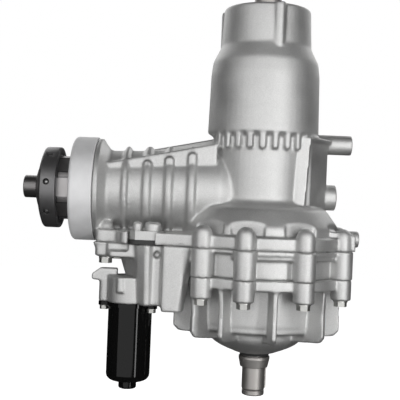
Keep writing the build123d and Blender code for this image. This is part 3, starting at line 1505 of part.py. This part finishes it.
with BuildPart() as motor_magnets:
    with BuildSketch(Plane.XY.offset(motor_end_z + 12)):
        with Locations((motor_x, motor_y)):
            Circle(motor_radius - can_wall - press_gap)
            Circle(magnet_bore, mode=Mode.SUBTRACT)
            Rectangle(2 * motor_radius, 9, mode=Mode.SUBTRACT)
    extrude(amount=motor_length - 28)
export_piece(motor_magnets, "motor_magnets")

with BuildPart() as motor_armature:
    with BuildSketch(Plane.XY.offset(motor_end_z + 14)):
        with Locations((motor_x, motor_y)):
            Circle(magnet_bore - 0.7)
            with PolarLocations(magnet_bore - 1, armature_slots):
                Circle(1.6, mode=Mode.SUBTRACT)
            Circle(motor_shaft_radius + press_gap, mode=Mode.SUBTRACT)
    extrude(amount=motor_length - 32)
export_piece(motor_armature, "motor_armature")

with BuildPart() as motor_shaft:
    with BuildSketch(Plane.XY.offset(motor_end_z - motor_boss_height + 4.5)):
        with Locations((motor_x, motor_y)):
            Circle(motor_shaft_radius)
    extrude(amount=pump_joint_z + rotor_height + 6 - motor_end_z + motor_boss_height - 4.5)
export_piece(motor_shaft, "motor_shaft")

# Pressure port cover on the shroud, with its seal, and the drain plug
with BuildPart() as port_seal:
    with BuildSketch(Plane.XY.offset(joint_z)):
        with Locations((port_x, port_y)):
            RectangleRounded(port_length + 1, port_width + 1, 9)
            Circle(port_thread_radius + press_gap, mode=Mode.SUBTRACT)
    extrude(amount=port_seal_height)
export_piece(port_seal, "port_seal")

with BuildPart() as port_cap:
    with BuildSketch(Plane.XY.offset(joint_z + port_seal_height)):
        with Locations((port_x, port_y)):
            plate_outline = Rectangle(port_length, port_width)
        chamfer(plate_outline.vertices(), 6)
    extrude(amount=port_plate_height)
    dome_plane = Plane.XY.offset(joint_z + port_seal_height + port_plate_height)
    for shift, radius in ((-10.0, 5.0), (6.0, 8.5)):
        with BuildSketch(dome_plane):
            with Locations((port_x + shift, port_y)):
                Circle(radius)
        extrude(amount=port_dome_height)
    fillet(port_cap.faces().sort_by(Axis.Z)[-2:].edges(), 3.5)
    with BuildSketch(Plane.XY.offset(joint_z - port_depth + 1)):
        with Locations((port_x, port_y)):
            Circle(port_thread_radius)
    extrude(amount=port_depth - 1 + port_seal_height)
export_piece(port_cap, "port_cap")

with BuildPart() as drain_plug:
    with Locations((*drain_place, drain_z)):
        add(hex_bolt(drain_thread_radius, drain_depth - 0.5, 10, 5, 6.5))
export_piece(drain_plug, "drain_plug")

# Dowels that line up the main and middle housings
with BuildPart() as joint_dowels:
    with BuildSketch(Plane.XY.offset(joint_z - mid_flange_thickness)):
        with Locations(*dowel_places):
            Circle(dowel_radius)
    extrude(amount=2 * mid_flange_thickness)
export_piece(joint_dowels, "joint_dowels")
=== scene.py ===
from math import cos, pi, radians, sin

import bpy
from mathutils import Matrix, Vector


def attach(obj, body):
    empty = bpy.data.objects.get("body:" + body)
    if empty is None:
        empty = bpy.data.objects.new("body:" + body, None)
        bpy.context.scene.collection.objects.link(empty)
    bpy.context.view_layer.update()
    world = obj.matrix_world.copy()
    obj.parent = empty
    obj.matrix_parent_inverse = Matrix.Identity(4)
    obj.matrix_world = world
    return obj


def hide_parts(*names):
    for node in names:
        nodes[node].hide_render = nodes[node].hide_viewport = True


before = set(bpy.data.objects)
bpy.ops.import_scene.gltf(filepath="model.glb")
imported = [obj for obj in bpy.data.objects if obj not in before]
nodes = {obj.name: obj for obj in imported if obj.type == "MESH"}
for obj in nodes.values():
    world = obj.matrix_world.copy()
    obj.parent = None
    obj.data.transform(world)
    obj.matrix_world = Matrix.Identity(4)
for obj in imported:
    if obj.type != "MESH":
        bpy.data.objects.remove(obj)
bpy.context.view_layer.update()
bpy.ops.object.select_all(action="DESELECT")

# Camera: level with the input arm and square to the output axis, a little to the input side.
# The picture is tipped by 2.3 degrees, so the neck leans to the right, as in the photograph.
camera_place = Vector((-0.0663, -0.880, -0.2097))
picture_tip = radians(2.3)
bpy.ops.object.camera_add(location=camera_place)
camera = bpy.context.object
camera.name = "camera"
camera.data.sensor_width = 36.0
camera.data.lens = 72.0
camera.data.clip_end = 20.0
camera_right = Vector((cos(picture_tip), 0, sin(picture_tip)))
camera_up = Vector((-sin(picture_tip), 0, cos(picture_tip)))
camera_back = camera_right.cross(camera_up)
camera.matrix_world = Matrix.Translation(camera_place) @ Matrix(
    (camera_right, camera_up, camera_back)).transposed().to_4x4()
bpy.context.scene.camera = camera
bpy.context.scene.view_settings.view_transform = "Standard"


# Studio: a matt white floor some way below the unit, which keeps its shadow, and a white world.
# Both are white to the camera and in mirrors, and shed only a little plain light on the unit.
class Socket:
    """An output socket of a node tree, with the arithmetic of Math nodes."""

    def __init__(self, tree, output=None):
        self.tree = tree
        self.output = output

    def node(self, kind, settings=None, **values):
        """A new node: its settings first, then its inputs, by name or by number as i0, i1, ..."""
        made = self.tree.nodes.new(kind)
        for name, value in (settings or {}).items():
            if name == "stops":
                for element, (place, shade) in zip(made.color_ramp.elements, value):
                    element.position = place
                    element.color = (shade, shade, shade, 1)
            else:
                setattr(made, name, value)
        for name, value in values.items():
            by_index = name[0] == "i" and name[1:].isdigit()
            socket = made.inputs[int(name[1:]) if by_index else name]
            if isinstance(value, Socket):
                self.tree.links.new(value.output, socket)
            else:
                socket.default_value = value
        return made

    def maths(self, operation, first, second):
        made = self.node("ShaderNodeMath", {"operation": operation}, i0=first, i1=second)
        return Socket(self.tree, made.outputs[0])

    def __add__(self, other):
        return self.maths("ADD", self, other)

    def __radd__(self, other):
        return self.maths("ADD", other, self)

    def __sub__(self, other):
        return self.maths("SUBTRACT", self, other)

    def __rsub__(self, other):
        return self.maths("SUBTRACT", other, self)

    def __mul__(self, other):
        return self.maths("MULTIPLY", self, other)

    def __rmul__(self, other):
        return self.maths("MULTIPLY", other, self)

    def clamped(self):
        made = self.node("ShaderNodeClamp", i0=self)
        return Socket(self.tree, made.outputs[0])

    def ramp(self, low, high):
        """Black below low, white above high, and even between them."""
        made = self.node("ShaderNodeValToRGB", {"stops": ((low, 0.0), (high, 1.0))}, i0=self)
        return Socket(self.tree, made.outputs[0])

    def mix(self, low, high):
        """The colour between low and high, by this value."""
        made = self.node("ShaderNodeMix", {"data_type": "RGBA"}, i0=self, i6=(*low, 1),
                         i7=(*high, 1))
        return Socket(self.tree, made.outputs[2])


def seen_white(tree):
    """1 for the camera's own rays and those of reflections and glass, and 0 for all others."""
    rays = Socket(tree).node("ShaderNodeLightPath")
    camera_ray, glossy, through = (Socket(tree, rays.outputs[name]) for name in (
        "Is Camera Ray", "Is Glossy Ray", "Is Transmission Ray"))
    return (camera_ray + glossy + through).clamped()


floor_level = -0.85
floor_size = 12
floor_glow = 0.9
bpy.ops.mesh.primitive_plane_add(size=floor_size, location=(0, 0, floor_level))
floor = bpy.context.object
floor.name = "floor"
bpy.ops.object.transform_apply(location=True)
material = bpy.data.materials.new("white_floor")
material.use_nodes = True
tree = material.node_tree
shader = tree.nodes["Principled BSDF"]
shader.inputs["Base Color"].default_value = (0.8, 0.8, 0.8, 1)
shader.inputs["Roughness"].default_value = 0.9
shader.inputs["Specular IOR Level"].default_value = 0.0
shader.inputs["Emission Color"].default_value = (1, 1, 1, 1)
glow = seen_white(tree) * floor_glow
tree.links.new(glow.output, shader.inputs["Emission Strength"])
floor.data.materials.append(material)

world = bpy.context.scene.world or bpy.data.worlds.new("studio")
bpy.context.scene.world = world
world.use_nodes = True
tree = world.node_tree
background = tree.nodes["Background"]
background.inputs["Color"].default_value = (1, 1, 1, 1)
world_light = 0.20
strength = world_light + seen_white(tree) * (1 - world_light)
tree.links.new(strength.output, background.inputs["Strength"])

# Lamps and cards: a wide soft lamp in front, two behind, and a narrow upright one at the right,
# which draws one bright band down each round form.
# Dark matt cards on every side, which only reflections see, give the metal its dark edges.
unit_middle = Vector((0.0, 0.0, -0.2))
for name, place, width, height, power in (
    ("key_lamp", (0.485, -0.70, -0.2), 0.10, 1.0, 3.8),
    ("front_lamp", (-0.41, -1.44, -0.05), 2.7, 1.8, 26.5),
    ("back_lamp_left", (-0.9, 1.2, 0.75), 1.2, 1.2, 9.0),
    ("back_lamp_right", (0.9, 1.2, 0.75), 1.2, 1.2, 9.0),
):
    bpy.ops.object.light_add(type="AREA", location=place)
    lamp = bpy.context.object
    lamp.name = name
    lamp.data.shape = "RECTANGLE"
    lamp.data.size = width
    lamp.data.size_y = height
    lamp.data.energy = power
    lamp.rotation_euler = (unit_middle - Vector(place)).to_track_quat("-Z", "Y").to_euler()
dark_card = bpy.data.materials.new("dark_card")
dark_card.use_nodes = True
shader = dark_card.node_tree.nodes["Principled BSDF"]
shader.inputs["Base Color"].default_value = (0.03, 0.03, 0.03, 1)
shader.inputs["Roughness"].default_value = 1.0
shader.inputs["Specular IOR Level"].default_value = 0.0
card_distance = 2.2
card_level = 1.6
card_lift = 0.02
for name, place, turn in (
    ("card_front", (0, -card_distance, 0), (pi / 2, 0, 0)),
    ("card_back", (0, card_distance, 0), (pi / 2, 0, 0)),
    ("card_left", (-card_distance, 0, 0), (0, pi / 2, 0)),
    ("card_right", (card_distance, 0, 0), (0, pi / 2, 0)),
    ("card_top", (0, 0, card_level), (0, 0, 0)),
    ("card_below", (0, 0, floor_level + card_lift), (0, 0, 0)),
):
    bpy.ops.mesh.primitive_plane_add(size=2 * card_distance, location=place, rotation=turn)
    card = bpy.context.object
    card.name = name
    card.visible_camera = False
    card.visible_diffuse = False
    card.visible_shadow = False
    bpy.ops.object.transform_apply(location=True, rotation=True)
    card.data.materials.append(dark_card)


# Main housing: one sand casting in aluminium, with rounded edges and a fine sandy skin.
# It is bolted to the middle housing at its bottom flange and carries everything else.
def start_material(name, roughness=0.5, metallic=0.0):
    """A new material with its main shader, and a socket that reads Object coordinates."""
    material = bpy.data.materials.new(name)
    material.use_nodes = True
    tree = material.node_tree
    shader = tree.nodes["Principled BSDF"]
    shader.inputs["Roughness"].default_value = roughness
    shader.inputs["Metallic"].default_value = metallic
    place = Socket(tree, Socket(tree).node("ShaderNodeTexCoord").outputs["Object"])
    return material, shader, place


def feed(shader, **links):
    """Links sockets to the main shader's inputs."""
    for name, value in links.items():
        value.tree.links.new(value.output, shader.inputs[name.replace("_", " ")])


def noise(place, scale, detail, roughness):
    made = place.node("ShaderNodeTexNoise", Vector=place, Scale=scale, Detail=detail,
                      Roughness=roughness)
    return Socket(place.tree, made.outputs[0])


def bump(height, strength, distance):
    made = height.node("ShaderNodeBump", Strength=strength, Distance=distance, Height=height)
    return Socket(height.tree, made.outputs[0])


def shades(shade, darker, brighter):
    """Two shades of a colour, darker and brighter by these factors."""
    return (tuple(part * darker for part in shade),
            tuple(min(1.0, part * brighter) for part in shade))


casting, shader, place = start_material("cast_aluminium", roughness=0.58, metallic=0.97)
sand = noise(place, scale=1100.0, detail=2.0, roughness=0.6)
patches = noise(place, scale=26.0, detail=4.0, roughness=0.6)
tone = (patches * 0.5 + sand * 0.5).ramp(0.3, 0.7)
feed(shader,
     Base_Color=tone.mix(*shades((0.58, 0.58, 0.575), darker=0.80, brighter=1.12)),
     Roughness=0.50 + patches * 0.16,
     Normal=bump(sand, strength=0.35, distance=0.0004))
same_point = 1e-6


def cast_skin(node, cell, rounds, keep, forms=()):
    """A cast skin in place of a CAD node: its copy and added forms, remeshed as one, smoothed."""
    bpy.ops.object.select_all(action="DESELECT")
    source = nodes[node]
    skin = source.copy()
    skin.data = source.data.copy()
    skin.name = node + "_casting"
    skin.parent = None
    bpy.context.collection.objects.link(skin)
    skin.select_set(True)
    bpy.context.view_layer.objects.active = skin
    bpy.ops.object.mode_set(mode="EDIT")
    bpy.ops.mesh.select_all(action="SELECT")
    bpy.ops.mesh.remove_doubles(threshold=same_point)
    bpy.ops.object.mode_set(mode="OBJECT")
    for form in forms:
        form.select_set(True)
    if forms:
        bpy.ops.object.join()
    remesh = skin.modifiers.new("skin", "REMESH")
    remesh.mode = "VOXEL"
    remesh.voxel_size = cell
    bpy.ops.object.modifier_apply(modifier=remesh.name)
    smooth = skin.modifiers.new("rounding", "SMOOTH")
    smooth.factor = 0.5
    smooth.iterations = rounds
    bpy.ops.object.modifier_apply(modifier=smooth.name)
    thin = skin.modifiers.new("thinning", "DECIMATE")
    thin.ratio = keep
    bpy.ops.object.modifier_apply(modifier=thin.name)
    bpy.ops.object.shade_smooth()
    skin.data.materials.clear()
    skin.data.materials.append(casting)
    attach(skin, "housing")
    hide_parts(node)


cast_skin("main_housing", cell=0.0014, rounds=6, keep=0.30)

# Middle housing: a shallow aluminium casting between the two joint flanges.
# Its tongue carries the pump shroud under the arm, and the long bolts pass through its bosses.
cast_skin("mid_housing", cell=0.0013, rounds=5, keep=0.45)

# End cover: a finned aluminium casting that holds the lower bearing and the lower shaft seal.
# Eight long bolts hold it from below through the bosses of its flange.
# Its round bowl and the long tips of its ten fins are added here to the CAD node's cone.
def turned_ring(name, profile, along_x=False, centre_z=0.0):
    """A closed ring turned about the output or input axis, from (radius, place) points."""
    bpy.ops.object.select_all(action="DESELECT")
    radius, place = profile[0]
    bpy.ops.mesh.primitive_circle_add(
        vertices=96, radius=radius, location=(place, 0, centre_z) if along_x else (0, 0, place),
        rotation=(0, pi / 2, 0) if along_x else (0, 0, 0))
    ring = bpy.context.object
    ring.name = name
    bpy.ops.object.transform_apply(location=True, rotation=True)
    bpy.ops.object.mode_set(mode="EDIT")
    bpy.ops.mesh.select_all(action="SELECT")
    for next_radius, next_place in (*profile[1:], profile[0]):
        step = next_place - place
        bpy.ops.mesh.extrude_region_move(
            TRANSFORM_OT_translate={"value": (step, 0, 0) if along_x else (0, 0, step)})
        scale = next_radius / radius
        bpy.ops.transform.resize(
            value=(1, scale, scale) if along_x else (scale, scale, 1),
            center_override=(next_place, 0, centre_z) if along_x else (0, 0, next_place))
        radius, place = next_radius, next_place
    bpy.ops.mesh.select_all(action="SELECT")
    bpy.ops.mesh.remove_doubles(threshold=same_point)
    bpy.ops.mesh.normals_make_consistent(inside=False)
    bpy.ops.object.mode_set(mode="OBJECT")
    return ring


cover_forms = [turned_ring("cover_bowl", (
    (0.0696, -0.3385), (0.0696, -0.3435), (0.0678, -0.3453), (0.0545, -0.3462),
    (0.0527, -0.3480), (0.0518, -0.3540), (0.0498, -0.3580), (0.0455, -0.3618),
    (0.0395, -0.3654), (0.0325, -0.3686), (0.0265, -0.3710), (0.0228, -0.3727),
    (0.0216, -0.3727), (0.0216, -0.3630), (0.0300, -0.3570), (0.0380, -0.3480),
    (0.0500, -0.3385)))]
fin_inner, fin_outer, fin_thickness = 0.046, 0.0905, 0.0054
fin_top, fin_bottom = -0.330, -0.358
slanted_bottom = (0.085, -0.3520, 0.10)
cut_corner = (0.0895, -0.3475, 1.2)
for angle in (-85, -51, -27.5, 8, 46.5, 85, 123, 161, 199, 240):
    turn = radians(angle - 90)
    outward = Vector((cos(turn), sin(turn), 0))
    middle = outward * (fin_inner + fin_outer) / 2
    bpy.ops.object.select_all(action="DESELECT")
    bpy.ops.mesh.primitive_cube_add(
        size=1, location=(middle.x, middle.y, (fin_top + fin_bottom) / 2), rotation=(0, 0, turn),
        scale=(fin_outer - fin_inner, fin_thickness, fin_top - fin_bottom))
    fin = bpy.context.object
    bpy.ops.object.transform_apply(location=True, rotation=True, scale=True)
    bpy.ops.object.mode_set(mode="EDIT")
    for reach, level, slope in (slanted_bottom, cut_corner):
        bpy.ops.mesh.select_all(action="SELECT")
        bpy.ops.mesh.bisect(
            plane_co=outward * reach + Vector((0, 0, level)),
            plane_no=outward * slope - Vector((0, 0, 1)), use_fill=True, clear_outer=True)
    bpy.ops.mesh.select_all(action="SELECT")
    bpy.ops.mesh.normals_make_consistent(inside=False)
    bpy.ops.object.mode_set(mode="OBJECT")
    cover_forms.append(fin)
cast_skin("end_cover", cell=0.0013, rounds=5, keep=0.45, forms=cover_forms)

# Pump body: a small aluminium casting pressed into the shroud, with a lug for its outer screw.
# It holds the two lobed rotors of the oil pump above the motor's flange.
cast_skin("pump_body", cell=0.0011, rounds=4, keep=0.8)


# Input bearing housing: a turned aluminium ring, brighter than the castings, with fine tool marks.
# Screws hold it to the end of the arm, and it holds the outer bearing and the input seal.
def finish_node(node, material):
    """A CAD node keeps its shape and takes a finished material in every slot."""
    piece = nodes[node]
    piece.data.materials.clear()
    piece.data.materials.append(material)
    for face in piece.data.polygons:
        face.material_index = 0


def tool_marks(place):
    """The fine scratches of a machined face, as a height."""
    return noise(place, scale=2400.0, detail=1.0, roughness=0.5)


def turned_metal(name, shade, roughness, metallic):
    """Machined metal with fine scratches and a slight change of shade."""
    material, shader, place = start_material(name, roughness, metallic)
    fine = tool_marks(place)
    broad = noise(place, scale=60.0, detail=3.0, roughness=0.6)
    feed(shader,
         Base_Color=broad.mix(*shades(shade, darker=0.88, brighter=1.12)),
         Roughness=(roughness - 0.06) + broad * 0.12,
         Normal=bump(fine, strength=0.08, distance=0.0002))
    return material


finish_node("input_bearing_housing",
            turned_metal("machined_aluminium", (0.71, 0.71, 0.715), 0.74, 0.75))

# Port cover: a cast aluminium plate with two domes, as rough as the housings.
# It closes the pressure port on top of the tongue, over its seal.
finish_node("port_cap", casting)

# Bolts, screws, dowels and the drain plug: zinc-plated steel with a faint grey bloom.
# Each joint bolt has a flanged hexagon head under a boss of the end cover.
zinc = turned_metal("zinc_steel", (0.40, 0.40, 0.385), 0.40, 0.95)
for node in ("housing_bolts", "input_housing_screws", "motor_screws", "drain_plug",
             "joint_dowels"):
    finish_node(node, zinc)

# Shafts, gears and plates: hardened steel, ground where it runs in a bearing or a seal.
# The splined ends of the two output shafts stand out of the housing.
ground = turned_metal("ground_steel", (0.40, 0.385, 0.37), 0.50, 0.95)
for node in ("ring_gear", "cross_pin", "upper_side_gear", "lower_side_gear", "planet_gear_a",
             "planet_gear_b", "upper_output_shaft", "lower_output_shaft", "clutch_hub",
             "steel_plates", "pressure_plate", "input_bearing_spacer", "ring_gear_bolts",
             "clutch_drum", "motor_shaft", "pump_inner_rotor", "pump_outer_rotor",
             "neck_circlip"):
    finish_node(node, ground)

# Input shaft: hardened steel, and its outer end is phosphated with the coupling and comes out dark.
# The line between the two finishes lies inside the coupling's bore.
material, shader, place = start_material("input_shaft_steel", 0.4, 0.95)
along = Socket(place.tree, place.node("ShaderNodeSeparateXYZ", i0=place).outputs[0])
finish_line_x, line_sharpness = -0.2300, 400.0
outside = ((finish_line_x - along) * line_sharpness).clamped()
fine = tool_marks(place)
feed(shader,
     Base_Color=outside.mix((0.46, 0.45, 0.43), (0.17, 0.165, 0.165)),
     Roughness=0.34 + fine * 0.12,
     Normal=bump(fine, strength=0.08, distance=0.0002))
finish_node("input_shaft", material)

# Rolling bearings: polished steel rings and rollers.
# Each sits in a bore of a housing and carries one of the shafts or the case.
polished = turned_metal("bearing_steel", (0.68, 0.68, 0.68), 0.2, 1.0)
for node in nodes:
    if "bearing" in node and node not in ("input_bearing_housing", "input_bearing_spacer"):
        finish_node(node, polished)

# Differential case: a machined iron casting in two halves.
# The ring gear's bolts hold the halves together.
iron = turned_metal("case_iron", (0.25, 0.25, 0.25), 0.5, 0.8)
for node in ("case_cover", "case_cup"):
    finish_node(node, iron)


# Coupling: a turned steel flange, phosphated dark and satin, on the spline of the input shaft.
# Its hub has eight milled flats, and its rim eight cross holes, each with a steel ball pressed in.
def cut_with(piece, tool):
    """Cuts a tool's form out of a piece, and deletes the tool."""
    cut = piece.modifiers.new("cut", "BOOLEAN")
    cut.operation = "DIFFERENCE"
    cut.solver = "EXACT"
    cut.object = tool
    bpy.context.view_layer.objects.active = piece
    bpy.ops.object.modifier_apply(modifier=cut.name)
    bpy.data.objects.remove(tool)


input_z = -0.202


def from_input_axis(x, turn, reach):
    """The point at this x and distance from the input axis, turned up from the front."""
    out = Vector((0, -cos(turn), sin(turn)))
    return Vector((x, 0, input_z)) + out * reach


coupling = turned_ring("coupling", (
    (0.01403, -0.2010), (0.0220, -0.2010), (0.0220, -0.2046), (0.0349, -0.2046),
    (0.0357, -0.2054), (0.0357, -0.2178), (0.0350, -0.2186), (0.0352, -0.2192),
    (0.0424, -0.2188), (0.0436, -0.2192), (0.0440, -0.2202), (0.0440, -0.2330),
    (0.0437, -0.2345), (0.0428, -0.2355), (0.0385, -0.2372), (0.0320, -0.2392),
    (0.0260, -0.2408), (0.0215, -0.2426), (0.0203, -0.2428), (0.0197, -0.2420),
    (0.0190, -0.2336), (0.01403, -0.2336)), along_x=True, centre_z=input_z)
hub_radius, rim_radius = 0.0357, 0.0440
flat_x, flat_seat = -0.2118, 0.0358
flat_size = (0.0176, 0.0040, 0.0235)
for index in range(8):
    turn = radians(45 * index)
    bpy.ops.mesh.primitive_cube_add(
        size=1, location=from_input_axis(flat_x, turn, flat_seat), rotation=(-turn, 0, 0),
        scale=flat_size)
    tool = bpy.context.object
    rounding = tool.modifiers.new("rounding", "BEVEL")
    rounding.width = 0.0019
    rounding.segments = 3
    bpy.ops.object.modifier_apply(modifier=rounding.name)
    cut_with(coupling, tool)
hole_x, hole_radius, hole_depth, hole_offset = -0.2282, 0.0034, 0.0130, 7
ball_radius, ball_seat = 0.0030, 0.0392
rim_balls = []
for index in range(8):
    turn = radians(45 * index + hole_offset)
    bpy.ops.mesh.primitive_cylinder_add(
        vertices=32, radius=hole_radius, depth=hole_depth,
        location=from_input_axis(hole_x, turn, rim_radius), rotation=(pi / 2 - turn, 0, 0))
    cut_with(coupling, bpy.context.object)
    bpy.ops.mesh.primitive_uv_sphere_add(
        segments=20, ring_count=12, radius=ball_radius,
        location=from_input_axis(hole_x, turn, ball_seat))
    rim_balls.append(bpy.context.object)
edges = coupling.modifiers.new("edges", "BEVEL")
edges.width = 0.0004
edges.segments = 2
edges.limit_method = "ANGLE"
edges.angle_limit = radians(35)
bpy.context.view_layer.objects.active = coupling
bpy.ops.object.modifier_apply(modifier=edges.name)
bpy.ops.object.select_all(action="DESELECT")
coupling.select_set(True)
bpy.ops.object.shade_smooth_by_angle(angle=radians(30))
bpy.ops.object.select_all(action="DESELECT")
for ball in rim_balls:
    ball.select_set(True)
balls = rim_balls[0]
bpy.context.view_layer.objects.active = balls
bpy.ops.object.join()
balls.name = "coupling_balls"
bpy.ops.object.transform_apply(location=True, rotation=True)
bpy.ops.object.shade_smooth()
phosphate = turned_metal("phosphated_steel", (0.15, 0.148, 0.15), 0.45, 0.9)
coupling.data.materials.append(phosphate)
coupling.data.materials.append(turned_metal("milled_flat", (0.33, 0.32, 0.32), 0.42, 0.95))
hub_start_x, hub_end_x = -0.2045, -0.2206
smallest_flat, slightest_tilt = 2e-5, 0.1
for face in coupling.data.polygons:
    middle = face.center
    reach = Vector((0, middle.y, middle.z - input_z)).length
    on_hub = hub_end_x < middle.x < hub_start_x and reach < hub_radius
    if on_hub and abs(face.normal.x) < slightest_tilt and face.area > smallest_flat:
        face.material_index = 1
balls.data.materials.append(turned_metal("ball_steel", (0.30, 0.30, 0.30), 0.42, 0.95))
for piece in (coupling, balls):
    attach(piece, "input")
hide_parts("coupling_flange")

# Coupling nut: a round nut with a raised collar, phosphated like the flange.
# It draws the flange against the inner ring of the outer bearing.
nut = turned_ring("nut", (
    (0.01303, -0.2337), (0.0172, -0.2337), (0.0186, -0.2345), (0.0188, -0.2400),
    (0.0184, -0.2420), (0.0172, -0.2436), (0.0160, -0.2444), (0.0136, -0.2446),
    (0.01303, -0.2440)), along_x=True, centre_z=input_z)
bpy.ops.object.shade_smooth_by_angle(angle=radians(30))
nut.data.materials.append(phosphate)
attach(nut, "input")
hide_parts("coupling_nut")

# Seals: black nitrile rubber with a matt skin.
# They are pressed into the housings round each shaft.
material, shader, place = start_material("seal_rubber", 0.65, 0.0)
grain = noise(place, scale=900.0, detail=2.0, roughness=0.5)
feed(shader,
     Base_Color=grain.mix((0.012, 0.012, 0.012), (0.03, 0.03, 0.03)),
     Roughness=0.55 + grain * 0.2,
     Normal=bump(grain, strength=0.1, distance=0.0002))
for node in ("upper_seal", "lower_seal", "input_seal", "piston_seals", "port_seal"):
    finish_node(node, material)

# Clutch linings, bronze washers, magnets and armature: the small inner pieces.
# None of them shows while the housing is closed.
for node, name, shade, roughness, metallic in (
    ("friction_plates", "paper_lining", (0.20, 0.13, 0.08), 0.85, 0.0),
    ("side_gear_washers", "bronze", (0.55, 0.36, 0.16), 0.35, 0.9),
    ("motor_magnets", "ferrite", (0.06, 0.06, 0.065), 0.6, 0.2),
    ("motor_armature", "lacquered_winding", (0.42, 0.16, 0.06), 0.4, 0.6),
):
    finish_node(node, turned_metal(name, shade, roughness, metallic))

# Motor can and flange: drawn steel in gloss black paint, with a faint orange peel.
# Two screws hold the flange to the pump body and the shroud.
material, shader, place = start_material("gloss_black", 0.12, 0.0)
shader.inputs["Specular IOR Level"].default_value = 0.16
peel = noise(place, scale=420.0, detail=2.0, roughness=0.5)
feed(shader,
     Base_Color=peel.mix((0.002, 0.002, 0.002), (0.004, 0.004, 0.004)),
     Roughness=0.04 + peel * 0.04,
     Normal=bump(peel, strength=0.03, distance=0.0002))
finish_node("motor_can", material)
finish_node("motor_flange", material)
